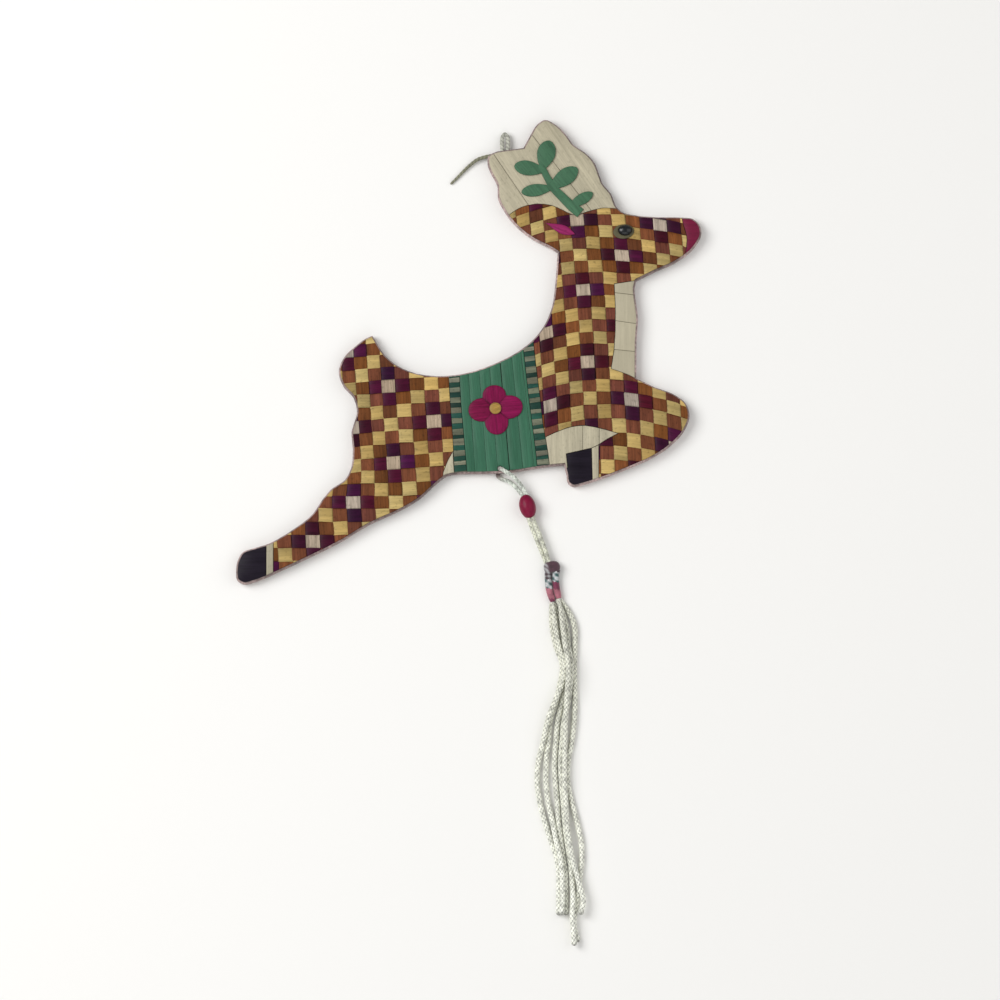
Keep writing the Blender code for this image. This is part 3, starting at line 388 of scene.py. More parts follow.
def black_glass():
    """Moulded black glass: a sharp highlight on a deep, faintly blue-green body."""
    material, tree, shader = new_material("black glass, moulded")
    haze = noise(tree, add_node(tree, "ShaderNodeTexCoord").outputs["Generated"], 5.0, 3.0)
    tree.links.new(ranged(tree, haze, (0.3, 0.7), (0.16, 0.3)), shader.inputs["Roughness"])
    set_shader(shader, Base_Color=(*linear("0E1215"), 1))
    return material


def studio_paper():
    """Seamless background paper: white and quite matt."""
    material, _, shader = new_material("background paper, seamless")
    set_shader(shader, Base_Color=(*linear("F6F5F2"), 1), Roughness=0.9)
    return material


# ---------------------------------------------------------------- outlines and meshes


def edge_loops(faces):
    """The closed outlines round some flat faces, each as a list of points."""
    chosen = set(faces)
    ahead = {}
    for face in chosen:
        for loop in face.loops:
            if sum(other in chosen for other in loop.edge.link_faces) == 1:
                ahead[loop.vert] = loop.link_loop_next.vert
    loops = []
    while ahead:
        start, vert = next(iter(ahead.items()))
        del ahead[start]
        outline = [start.co.copy()]
        while vert is not start:
            outline.append(vert.co.copy())
            vert = ahead.pop(vert)
        loops.append(outline)
    return loops


def footprint(node):
    """A panel's outlines on its underside, anticlockwise round it, and its lowest and highest z."""
    work = bmesh.new()
    work.from_mesh(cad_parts[node].data)
    bmesh.ops.remove_doubles(work, verts=work.verts[:], dist=1e-7)
    low = min(vert.co.z for vert in work.verts)
    high = max(vert.co.z for vert in work.verts)
    under = [face for face in work.faces if all(vert.co.z < low + 1e-6 for vert in face.verts)]
    loops = [outline[::-1] for outline in edge_loops(under)]
    work.free()
    return loops, low, high


def clean(outline, apart=0.05 * MM):
    """An outline without points that nearly coincide."""
    kept = []
    for point in outline:
        if not kept or (point - kept[-1]).length > apart:
            kept.append(point)
    while len(kept) > 3 and (kept[0] - kept[-1]).length <= apart:
        kept.pop()
    return kept


def area_of(outline):
    """The signed area of a flat outline, positive where it runs anticlockwise seen from above."""
    return sum(a.x * b.y - b.x * a.y for a, b in zip(outline, outline[1:] + outline[:1])) / 2


def moved_in(outline, distance):
    """An anticlockwise outline moved inwards by distance."""
    found = []
    for i, point in enumerate(outline):
        before = (point - outline[i - 1]).normalized()
        after = (outline[(i + 1) % len(outline)] - point).normalized()
        normal = Vector((-before.y - after.y, before.x + after.x, 0)).normalized()
        stretch = max(0.6, normal.dot(Vector((-before.y, before.x, 0))))
        found.append(point + normal * distance / stretch)
    return found


def join_rings(work, rings):
    """Joins each ring of points to the next with quads."""
    for lower, upper in zip(rings, rings[1:]):
        for k in range(len(lower)):
            n = (k + 1) % len(lower)
            work.faces.new((lower[k], lower[n], upper[n], upper[k]))


def rounded_prism(work, loops, low, profile):
    """Adds a prism over the outlines. profile lists (how far in, z) up its rounded edge."""
    tops = []
    under = []
    for outline in loops:
        outline = clean(outline)
        if len(outline) < 3:
            continue
        rings = [[work.verts.new((p.x, p.y, low)) for p in outline]]
        for inward, z in profile:
            rings.append([work.verts.new((p.x, p.y, z)) for p in moved_in(outline, inward)])
        join_rings(work, rings)
        under.append(rings[0])
        tops.append(rings[-1])
    for rings in (tops, under):
        edges = [work.edges.get((ring[k - 1], ring[k])) for ring in rings for k in range(len(ring))]
        bmesh.ops.triangle_fill(work, use_beauty=True, use_dissolve=False, edges=edges)


def rounded(high, size):
    """A profile with its top edge rounded to size."""
    steps = ((0, 1), (0.12, 0.6), (0.4, 0.25), (1, 0))
    return [(inward * size, high - down * size) for inward, down in steps]


def finish_mesh(name, work, material, smooth_angle=32):
    """Turns a bmesh into an object of its own, with normals out and sharp edges kept."""
    bmesh.ops.recalc_face_normals(work, faces=work.faces[:])
    mesh = bpy.data.meshes.new(name)
    work.to_mesh(mesh)
    work.free()
    return finish_object(name, mesh, material, smooth_angle)


def finish_object(name, mesh, material, smooth_angle=32):
    """Shows a mesh smoothly shaded, with its sharp edges kept."""
    mesh.shade_smooth()
    mesh.set_sharp_from_angle(angle=math.radians(smooth_angle))
    mesh.materials.append(material)
    obj = bpy.data.objects.new(name, mesh)
    bpy.context.scene.collection.objects.link(obj)
    return obj


def stand_for(obj, slot_name, *nodes):
    """Puts a finished piece in place of its CAD nodes."""
    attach(obj, BODY)
    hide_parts(*nodes)


def paint(mesh, dyes, grains):
    """Writes each corner's dye, with how strongly its fibres show as alpha, and its place in the grain."""
    dye = mesh.color_attributes.new("dye", "FLOAT_COLOR", "CORNER")
    dyes = np.asarray(dyes)
    rgba = np.ones((len(mesh.loops), 4), np.float32)
    rgba[:, : dyes.shape[1]] = dyes
    dye.data.foreach_set("color", rgba.ravel())
    grain = mesh.uv_layers.new(name="grain")
    grain.data.foreach_set("uv", np.asarray(grains, np.float32).ravel())


def corner_points(mesh):
    """Which point each corner of a mesh lies on."""
    corners = np.empty(len(mesh.loops), np.int64)
    mesh.loops.foreach_get("vertex_index", corners)
    return corners


def corner_places(mesh):
    """Each corner's position."""
    places = np.empty(len(mesh.vertices) * 3)
    mesh.vertices.foreach_get("co", places)
    return places.reshape(-1, 3)[corner_points(mesh)]


def grain_across(places, normal):
    """Millimetres along straw that lies square to normal, and across it."""
    across = (places[:, 0] * normal.x + places[:, 1] * normal.y) / MM
    along = (places[:, 0] * normal.y - places[:, 1] * normal.x) / MM
    return np.stack([along, across], 1)


def smooth(points, step):
    """Points about step apart along a smooth curve through the given ones, ends included."""
    knots = [Vector(point) for point in points]
    spans = [(b - a).length for a, b in zip(knots, knots[1:])]
    slopes = [(b - a) / span for a, b, span in zip(knots, knots[1:], spans)]
    tangents = [slopes[0]]
    for before, after, slope_in, slope_out in zip(spans, spans[1:], slopes, slopes[1:]):
        tangents.append((slope_in * after + slope_out * before) / (before + after))
    tangents.append(slopes[-1])
    found = [knots[0]]
    for i, span in enumerate(spans):
        pieces = max(1, round(span / step))
        for k in range(1, pieces + 1):
            t = k / pieces
            rise = t * t * (3 - 2 * t)
            found.append(
                knots[i] * (1 - rise)
                + knots[i + 1] * rise
                + tangents[i] * span * (t * (1 - t) ** 2)
                - tangents[i + 1] * span * (t * t * (1 - t))
            )
    return found


# ---------------------------------------------------------------- woven straw


def between(row, rows):
    """How far a row lies from the first of two rows to the second: 0 above them and 1 below."""
    first, last = rows
    return min(max((row - first) / (last - first), 0.0), 1.0)


def hind_weave(column, row):
    """Where a place in the hind weave lies. The rows rise to the front and level out in the leg."""
    leg = between(row, LEG_ROWS)
    strip = HIND_STRIP_FRONT if column > 0 else HIND_STRIP_REAR + (LEG_STRIP - HIND_STRIP_REAR) * leg
    x = HAUNCH[0] + strip * column + HIND_LEAN * row
    down = HIND_ROW * row + (LEG_ROW - HIND_ROW) * max(row - LEG_ROWS[0], 0)
    y = HAUNCH[1] - down + HIND_RISE * (1 - leg) * column
    return x, y


def fore_weave(column, row):
    """Where a place in the fore weave lies. The rows sag both ways from a crest, most at the knee."""
    strip = FORE_STRIP_FRONT if column > 0 else FORE_STRIP_REAR
    x = NECK[0] + strip * column + (HEAD_LEAN if row < 0 else NECK_LEAN) * row
    down = (HEAD_ROW if row < 0 else NECK_ROW) * row + (KNEE_ROW - NECK_ROW) * max(row - KNEE_FROM, 0)
    knee = between(row, KNEE_ROWS)
    sag = SAG_REAR if column < CREST else SAG_FRONT + (SAG_KNEE - SAG_FRONT) * knee
    y = NECK[1] + SAG_REAR * CREST**2 - down - sag * (column - CREST) ** 2
    return x, y


def kind_of(column, row):
    """Which dye shows in a cell, from the check's repeat of six."""
    rising, falling = (column + row) % 6, (column - row) % 6
    if rising == 0 and falling == 0:
        return "cream"
    if rising == 3 or falling == 3:
        return "yellow"
    return "plum" if rising % 2 else "brown"


# How uneven each dye is: how far its value and its warmth wander, and how strongly the fibres show
UNEVEN = {
    "cream": (0.12, 0.08, 0.85),
    "yellow": (0.24, 0.09, 0.38),
    "plum": (0.45, 0.4, 0.6),
    "brown": (0.26, 0.26, 0.75),
}


def crossing_tile(column, row, weave, sizes, colours, luck):
    """One strip where it passes over another: its points, faces, each point's dye with painted shade in it,
    and grain.
    """
    kind = kind_of(column, row)
    value, warmth, fibre = UNEVEN[kind]
    middle = np.array(weave(column, row), float)
    side = np.array(weave(column + 0.5, row), float) - np.array(weave(column - 0.5, row), float)
    down = np.array(weave(column, row + 0.5), float) - np.array(weave(column, row - 0.5), float)
    upright = (column + row) % 2 == 0
    along_side, across_side = (down, side) if upright else (side, down)
    turn = math.radians(luck.uniform(-1, 1) * (4.2 if kind == "yellow" else 2.2))
    swing = np.array(((math.cos(turn), -math.sin(turn)), (math.sin(turn), math.cos(turn))))
    broad = luck.uniform(0.975, 1.01) * (1.03 if kind == "yellow" else 1.0)
    middle += (luck.uniform(-0.1, 0.1), luck.uniform(-0.1, 0.1))
    lift = luck.uniform(-0.03, 0.02) + (0.02 if kind == "yellow" else 0.0)
    lean = luck.uniform(-0.04, 0.04)
    along, across = np.meshgrid(ALONG_STRIP, ACROSS_STRIP, indexing="ij")
    along, across = along.ravel(), across.ravel()
    flat = (along[:, None] * along_side + across[:, None] * broad * across_side) @ swing.T + middle
    high = (sizes.weave_low + sizes.weave_rise) / MM + lift + lean * across
    z = high - sizes.weave_rise / MM * np.abs(2 * along) ** 3.4 - 0.05 * np.abs(2 * across) ** 5
    tops = np.column_stack([flat, z])
    rim = edge_of_grid(len(ALONG_STRIP), len(ACROSS_STRIP))
    feet = np.column_stack([flat[rim], np.full(len(rim), TILE_FOOT)])
    dye = np.array(getattr(colours, kind)) * luck.uniform(1 - value, 1 + value)
    tint = luck.uniform(-warmth, warmth)
    # Painted shade: a random darkening where the strip dives under its neighbours at its ends, a little along
    # its sides, and down its walls to 0.35
    painted_end_shade, painted_side_shade = luck.uniform(0.1, 0.6), luck.uniform(0.0, 0.25)
    dye = dye * (1 + 0.3 * tint, 1 + tint * (0.6 if kind == "brown" else -0.4), 1 - 1.5 * tint)
    dive = np.clip(np.abs(2 * along) - 0.88, 0, 0.16) / 0.16
    shade = 1 - painted_end_shade * dive - painted_side_shade * np.abs(2 * across) ** 14
    shade = np.concatenate([np.clip(shade, 0.2, 1), np.full(len(rim), 0.35)])
    grain = np.column_stack([
        along * np.linalg.norm(along_side), across * np.linalg.norm(across_side)
    ]) + luck.uniform(0, 300)
    grain = np.vstack([grain, grain[rim]])
    dyes = np.column_stack([shade[:, None] * dye, np.full(len(shade), fibre)])
    wide = len(ACROSS_STRIP)
    faces = [
        (i * wide + j, i * wide + j + 1, (i + 1) * wide + j + 1, (i + 1) * wide + j)
        for i in range(len(ALONG_STRIP) - 1)
        for j in range(wide - 1)
    ]
    first = len(tops)
    for k in range(len(rim)):
        n = (k + 1) % len(rim)
        faces.append((rim[k], first + k, first + n, rim[n]))
    faces.append(tuple(range(first, first + len(rim))))
    if not upright:
        faces = [face[::-1] for face in faces]
    return np.vstack([tops, feet]), faces, dyes, grain


def edge_of_grid(tall, wide):
    """The indices round the edge of a grid of points."""
    rim = list(range(wide))
    rim += [i * wide + wide - 1 for i in range(1, tall)]
    rim += [(tall - 1) * wide + j for j in range(wide - 2, -1, -1)]
    rim += [i * wide for i in range(tall - 2, 0, -1)]
    return rim


def tile_mesh(points, faces, dyes, grain):
    """A woven tile as a mesh of its own."""
    mesh = bpy.data.meshes.new("tile")
    mesh.from_pydata((points * MM).tolist(), [], faces)
    mesh.update()
    corners = corner_points(mesh)
    paint(mesh, dyes[corners], grain[corners])
    return mesh


def within(point, loops):
    """How often the outlines go round a flat point: 0 where it lies outside them."""
    x, y = point
    turns = 0
    for outline in loops:
        for a, b in zip(outline, outline[1:] + outline[:1]):
            if (a.y <= y) != (b.y <= y):
                meets = a.x + (y - a.y) * (b.x - a.x) / (b.y - a.y)
                if meets > x:
                    turns += 1 if b.y > a.y else -1
    return turns


def distance_to(point, loops):
    """How far a flat point lies from the nearest outline."""
    found = []
    for outline in loops:
        for a, b in zip(outline, outline[1:] + outline[:1]):
            along = b.xy - a.xy
            share = (point - a.xy).dot(along) / max(along.length_squared, 1e-12)
            found.append((point - a.xy - along * min(max(share, 0), 1)).length)
    return min(found)


def trimmed(mesh, cutter):
    """A mesh cut off at the walls of the cutter."""
    piece = bpy.data.objects.new("to_trim", mesh)
    bpy.context.scene.collection.objects.link(piece)
    cut = piece.modifiers.new("trim", "BOOLEAN")
    cut.operation = "INTERSECT"
    cut.solver = "EXACT"
    cut.object = cutter
    bpy.context.view_layer.update()
    result = bpy.data.meshes.new_from_object(piece.evaluated_get(bpy.context.evaluated_depsgraph_get()))
    bpy.data.objects.remove(piece)
    return result


def cut_to_outline(tile, cutter, loops, reaches_in):
    """A tile cut off at its panel's outline. A cut that goes wrong is made again, the tile a hair aside.

    Of a tile that reaches in by less than SLIVER, nothing may be left.
    """
    points, *rest = tile
    top = points[:, 2].max() * MM + 0.05 * MM
    for attempt in range(6):
        mesh = trimmed(tile_mesh(points + np.array((0.013, 0.007, 0)) * attempt, *rest), cutter)
        kept = [vert.co for vert in mesh.vertices]
        stays_in = all(within(at.xy, loops) or distance_to(at.xy, loops) < 0.06 * MM for at in kept)
        if stays_in and all(at.z < top for at in kept) and (kept or not reaches_in):
            return mesh
    raise RuntimeError("a tile could not be cut to its panel's outline")


def woven_panel(node, cells, weave, sizes, colours, material, seed):
    """Weaves a panel tile by tile, and trims the tiles that cross its outline."""
    loops, low, _ = footprint(node)
    trim = bmesh.new()
    rounded_prism(trim, loops, low - 0.3 * MM, [(0, low + 1.6 * MM)])
    cutter = finish_mesh(f"{node}_trim", trim, material)
    shadow = np.tile((*linear("2A1A14"), 0.0), (len(cutter.data.loops), 1))
    paint(cutter.data, shadow, np.zeros((len(cutter.data.loops), 2)))
    work = bmesh.new()
    for column in range(cells["columns"][0], cells["columns"][1] + 1):
        for row in range(cells["rows"][0], cells["rows"][1] + 1):
            luck = random.Random(seed * 10007 + column * 101 + row)
            tile = crossing_tile(column, row, weave, sizes, colours, luck)
            spots = [point[:2] * MM for point in tile[0]]
            inside = [within(spot, loops) != 0 for spot in spots]
            near = any(
                max(abs(p.x - spots[0][0]), abs(p.y - spots[0][1])) < NEAR_EDGE * MM
                for loop in loops
                for p in loop
            )
            if not any(inside) and not near:
                continue
            if all(inside) and not near:
                work.from_mesh(tile_mesh(*tile))
            else:
                reaches_in = any(
                    hit and distance_to(Vector(spot), loops) > SLIVER * MM for hit, spot in zip(inside, spots)
                )
                work.from_mesh(cut_to_outline(tile, cutter, loops, reaches_in))
    bpy.data.objects.remove(cutter)
    if len(work.faces) < LEAST_FACES:
        raise RuntimeError(f"{node}: the weave was lost in the trimming")
    for face in work.faces:
        face.material_index = 0
    mesh = bpy.data.meshes.new(f"{node}_straw")
    work.to_mesh(mesh)
    work.free()
    return finish_object(f"{node}_straw", mesh, material, 35)


# ---------------------------------------------------------------- plain straw


def side_of(seam):
    """A seam's first point and the normal to its right, both in metres."""
    (ax, ay), (bx, by) = seam
    along = Vector((bx - ax, by - ay, 0)).normalized()
    return Vector((ax * MM, ay * MM, 0)), Vector((-along.y, along.x, 0))


def strip_outlines(loops, before, after, gaps):
    """The outlines of what is left of a panel between two seams, either of which may be None."""
    work = bmesh.new()
    for outline in loops:
        verts = [work.verts.new((p.x, p.y, 0)) for p in clean(outline)]
        for k in range(len(verts)):
            work.edges.new((verts[k - 1], verts[k]))
    bmesh.ops.triangle_fill(work, use_beauty=True, use_dissolve=False, edges=work.edges[:])
    for seam, sign, gap in ((before, 1, gaps[0]), (after, -1, gaps[1])):
        if seam is None:
            continue
        place, normal = side_of(seam)
        bmesh.ops.bisect_plane(
            work, geom=work.verts[:] + work.edges[:] + work.faces[:], dist=1e-8,
            plane_co=place + normal * gap / 2 * sign, plane_no=-normal * sign, clear_outer=True,
        )
    bmesh.ops.recalc_face_normals(work, faces=work.faces[:])
    for face in work.faces:
        if face.normal.z < 0:
            face.normal_flip()
    found = edge_loops(work.faces)
    work.free()
    return [outline for outline in found if abs(area_of(outline)) > 0.02 * MM * MM]


def grouped(outlines):
    """Outlines grouped so that each hole goes with the outline round it."""
    outer = [outline for outline in outlines if area_of(outline) > 0]
    holes = [outline for outline in outlines if area_of(outline) < 0]
    if len(outer) == 1:
        return [outer + holes]
    return [[outline] for outline in outer]


def plain_panel(
    name, node, seams, dyes, material, sizes, seed, gap=None, lay=None, edge=None, open_seam=None
):
    """Builds a panel of plain straw as strips between its seams. dyes are used in turn.

    The seam numbered open_seam stands wide open.
    """
    loops, low, high = footprint(node)
    luck = random.Random(seed)
    gap = sizes.seam if gap is None else gap
    edge = edge or sizes.edge_round
    work = bmesh.new()
    tones = []
    for k, (before, after) in enumerate(zip([None] + seams, seams + [None])):
        dye = np.array(dyes[k % len(dyes)]) * luck.uniform(0.93, 1.07)
        top = high + luck.uniform(-0.05, 0.03) * MM
        start = len(work.faces)
        open_here = [open_seam is not None and k - side == open_seam for side in (1, 0)]
        gaps = [gap * (WIDE_OPEN if wide else 1) for wide in open_here]
        for group in grouped(strip_outlines(loops, before, after, gaps)):
            rounded_prism(work, group, low, rounded(top, edge))
        tones += [(dye, luck.uniform(0, 400))] * (len(work.faces) - start)
    seam = lay or (seams[0] if seams else ((0, 0), (0, -1)))
    _, normal = side_of(seam)
    obj = finish_mesh(name, work, material)
    rgb, slip = [], []
    for (dye, start), face in zip(tones, obj.data.polygons):
        # Painted shade: faces that do not face up, the strips' cut sides, are drawn darker
        rgb += [dye * (1.0 if face.normal.z > 0.8 else PAINTED_WALL_SHADE)] * face.loop_total
        slip += [start] * face.loop_total
    paint(obj.data, rgb, grain_across(corner_places(obj.data), normal) + np.array(slip)[:, None])
    return obj


def domed_piece(name, node, dye, material, axis, crease=0.05, spread=0.0):
    """Builds a shape cut from straw and pressed over: domed and creased along its axis, with painted shade
    darkening its edge and its crease.
    """
    loops, low, high = footprint(node)
    outline = moved_in(clean(max(loops, key=lambda loop: abs(area_of(loop))), 0.2 * MM), -spread * MM)
    place, normal = side_of(axis)
    middle = sum(outline, Vector()) / len(outline)
    edge = low + 0.45 * (high - low)
    work = bmesh.new()
    rings = [[work.verts.new((p.x, p.y, low)) for p in outline]]
    # Painted shade: the lowest ring is drawn at 0.4, and each ring darkens towards the edge and along the
    # crease
    shades = [0.4] * len(outline)
    for share in (1.0, 0.98, 0.94, 0.87, 0.76, 0.6, 0.42, 0.24, 0.1):
        ring = []
        for p in outline:
            at = middle + (p - middle) * share
            off = (at - place).dot(normal) / MM
            fold = math.exp(-((off / 0.3) ** 2)) * (1 - share**4)
            z = edge + (high - edge) * (1 - share**3.2) - crease * MM * fold
            ring.append(work.verts.new((at.x, at.y, z)))
            shades.append((1 - 0.5 * share**16) * (1 - 0.12 * fold))
        rings.append(ring)
    join_rings(work, rings)
    work.faces.new(rings[-1])
    work.faces.new(rings[0])
    obj = finish_mesh(name, work, material, 50)
    rgb = np.array(shades)[corner_points(obj.data)][:, None] * np.array(dye)
    paint(obj.data, rgb, grain_across(corner_places(obj.data), normal))
    return obj


def ladder(start, end, first, pitch, count):
    """Seams across a border that runs from start to end, a pitch apart and each a little off its place."""
    start, end = Vector(start), Vector(end)
    along = (end - start).normalized()
    luck = random.Random(count)
    seams = []
    for k in range(count):
        place = start + along * (first + pitch * k + luck.uniform(-0.32, 0.32))
        across = Vector((along.y, -along.x)) + along * luck.uniform(-0.05, 0.05)
        seams.append(((place.x, place.y), (place.x + across.x, place.y + across.y)))
    return seams


# ---------------------------------------------------------------- cords


def tube_rings(route):
    """The centres, and two crosswise axes at each, along a route without twist."""
    centres = np.array(route)
    ahead = np.gradient(centres, axis=0)
    ahead /= np.linalg.norm(ahead, axis=1)[:, None]
    right = np.empty_like(centres)
    side = np.cross(ahead[0], (0, 0, 1.0))
    if np.linalg.norm(side) < 0.1:
        side = np.cross(ahead[0], (0, 1.0, 0))
    for k, way in enumerate(ahead):
        side = side - way * side.dot(way)
        side /= np.linalg.norm(side)
        right[k] = side
    return centres, right, np.cross(ahead, right)


def braid_relief(turn, run, carriers, pitch):
    """How proud a round braid is, 0 to 1, at an angle (in turns) and a distance along it."""
    left = carriers * turn + run / pitch
    right = carriers * turn - run / pitch
    in_left, in_right = left % 1, right % 1
    over = (np.floor(left) + np.floor(right)) % 2 == 0
    side = np.where(over, in_left, in_right)
    ride = np.where(over, in_right, in_left)
    return np.sin(np.pi * side) ** 0.75 * (0.55 + 0.45 * np.sin(np.pi * ride))


def twist_relief(turn, run, plies, pitch):
    """How proud a twisted cord of a few plies is, 0 to 1."""
    return np.abs(np.sin(np.pi * (plies * turn + run / pitch))) ** 0.8


def wound_relief(turn, run, pitch):
    """How proud a thread wound round a core is, 0 to 1."""
    return np.abs(np.sin(np.pi * (run / pitch + turn * 0.25))) ** 0.6


def cord_mesh(name, route, radius, relief, depth, sides, dye, material):
    """A cord's closed tube. Its radius and dye come from arrays of share, run, turn and relief."""
    centres, right, up = tube_rings(route)
    steps = np.linalg.norm(np.diff(centres, axis=0), axis=1)
    run = np.concatenate([[0], np.cumsum(steps)])
    share = run / run[-1]
    turn = np.arange(sides) / sides
    proud = relief(turn[None, :], run[:, None])
    reach = radius(share, run)[:, None] * (1 - depth * (1 - proud))
    angle = 2 * math.pi * turn
    ring = right[:, None] * np.cos(angle)[None, :, None] + up[:, None] * np.sin(angle)[None, :, None]
    verts = (centres[:, None] + ring * reach[..., None]).reshape(-1, 3)
    count = len(centres)
    verts = np.vstack([verts, centres[:1], centres[-1:]]) * MM
    faces = []
    for k in range(count - 1):
        for s in range(sides):
            n = (s + 1) % sides
            faces.append((k * sides + s, k * sides + n, (k + 1) * sides + n, (k + 1) * sides + s))
    first, last = count * sides, count * sides + 1
    for s in range(sides):
        n = (s + 1) % sides
        faces.append((n, s, first))
        faces.append(((count - 1) * sides + s, (count - 1) * sides + n, last))
    mesh = bpy.data.meshes.new(name)
    mesh.from_pydata(verts.tolist(), [], faces)
    mesh.update()
    if sum(face.normal.dot(face.center - Vector(centres[0]) * MM) for face in mesh.polygons[:sides]) < 0:
        mesh.flip_normals()
    tints = dye(share[:, None], turn[None, :], proud)
    rgb = np.vstack([tints.reshape(-1, 3), tints[0].mean(0), tints[-1].mean(0)])
    corners = corner_points(mesh)
    runs = np.append(np.repeat(run, sides), (run[0], run[-1]))
    turns = np.append(np.tile(turn, count), (0, 0))
    grains = np.stack([runs + 3 * turns, turns * 5], 1)
    paint(mesh, rgb[corners], grains[corners])
    return finish_object(name, mesh, material, 60)


def even_route(knots, step):
    """A cord's route in millimetres as evenly spaced points."""
    dense = np.array([tuple(point) for point in smooth(knots, step / 3)])
    run = np.concatenate([[0], np.cumsum(np.linalg.norm(np.diff(dense, axis=0), axis=1))])
    at = np.linspace(0, run[-1], int(run[-1] / step) + 1)
    return np.stack([np.interp(at, run, dense[:, axis]) for axis in range(3)], 1)


def route_length(route):
    return float(np.linalg.norm(np.diff(route, axis=0), axis=1).sum())


# ---------------------------------------------------------------- operators


def settings(context):
    """The sizes and the dyes that the sidebar shows."""
    return context.scene.reindeer_sizes, context.scene.reindeer_colours


class REINDEER_OT_stage(bpy.types.Operator):
    """Sets the floor, the soft studio light and the camera"""

    bl_idname = "reindeer.stage"
    bl_label = "Stage"

    def execute(self, context):
        aim = Vector((8.6, -41.95, 1.5)) * MM
        distance, elevation, view_width = 2.4, math.radians(83), 0.28
        lens = bpy.data.cameras.new("camera")
        lens.sensor_width = 36
        lens.lens = lens.sensor_width * distance / view_width
        lens.clip_start = 0.05
        camera = bpy.data.objects.new("camera", lens)
        camera.location = aim + Vector((0, -math.cos(elevation), math.sin(elevation))) * distance
        camera.rotation_euler = (math.radians(90) - elevation, 0, 0)
        context.scene.collection.objects.link(camera)
        context.scene.camera = camera
        work = bmesh.new()
        bmesh.ops.create_grid(work, x_segments=1, y_segments=1, size=2.5)
        floor = finish_mesh("floor", work, studio_paper())
        floor.location.z = CAD_BOX[0][2] - FLOOR_GAP * MM
        world = bpy.data.worlds.new("studio")
        world.use_nodes = True
        world.node_tree.nodes["Background"].inputs["Color"].default_value = (1, 1, 1, 1)
        world.node_tree.nodes["Background"].inputs["Strength"].default_value = 0.32
        context.scene.world = world
        context.scene.view_settings.view_transform = "Standard"
        for name, place, size, energy in (
            ("key", (-0.62, 0.2, 0.75), 0.6, 7.0),
            ("fill", (0.7, 0.1, 0.7), 0.9, 2.4),
            ("front", (0.0, -0.75, 0.65), 0.9, 2.0),
        ):
            light = bpy.data.lights.new(name, "AREA")
            light.size = size
            light.energy = energy
            lamp = bpy.data.objects.new(name, light)
            lamp.location = aim + Vector(place)
            lamp.rotation_euler = Vector(place).to_track_quat("Z", "Y").to_euler()
            context.scene.collection.objects.link(lamp)
        return {"FINISHED"}


class REINDEER_OT_strands(bpy.types.Operator):
    """Braids the tassel's six strands"""

    bl_idname = "reindeer.strands"
    bl_label = "Tassel Strands"

    def execute(self, context):
        sizes, colours = settings(context)
        material = spun_cotton("cotton yarn, braided")
        full = sizes.strand / 2 / MM
        pitch = sizes.braid_pitch / MM
        for k, knots in enumerate(STRANDS, 1):
            route = even_route(knots, 0.2)
            long = route_length(route)
            luck = random.Random(500 + k)
            tint = np.array(colours.cotton) * luck.uniform(0.92, 1.05)

            def radius(share, run, long=long):
                start = np.minimum(1, 0.58 + run / 11)
                tip = np.sqrt(np.clip((long - run) / 0.5, 0.02, 1))
                knob = 1 + 0.1 * np.exp(-(((long - run - 0.9) / 0.6) ** 2))
                return full * start * tip * knob

            def dye(share, turn, proud, tint=tint, long=long):
                # Painted shade darkens the braid's hollows. Along the strand it is drawn lighter and a little
                # bluer towards the tip, and darker over the tip's last millimetre.
                hollow_shade = (0.17 + 0.93 * np.clip(proud / 0.62, 0, 1) ** 1.3) * (1.0 + 0.26 * share)
                darker_at_tip = 1 - 0.6 * np.exp(-(((1 - share) * long / 0.8) ** 2))
                bluer_towards_tip = np.stack([np.ones_like(share), 1 + 0.01 * share, 1 + 0.06 * share], -1)
                return (hollow_shade * darker_at_tip)[..., None] * bluer_towards_tip * tint

            def relief(turn, run, k=k):
                return braid_relief(turn + 0.13 * k, run + 0.4 * k, 4, pitch)

            strand = cord_mesh(f"tassel_strand_{k}_braid", route, radius, relief, 0.24, 24, dye, material)
            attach(strand, BODY)
            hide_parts(f"tassel_strand_{k}")
        return {"FINISHED"}


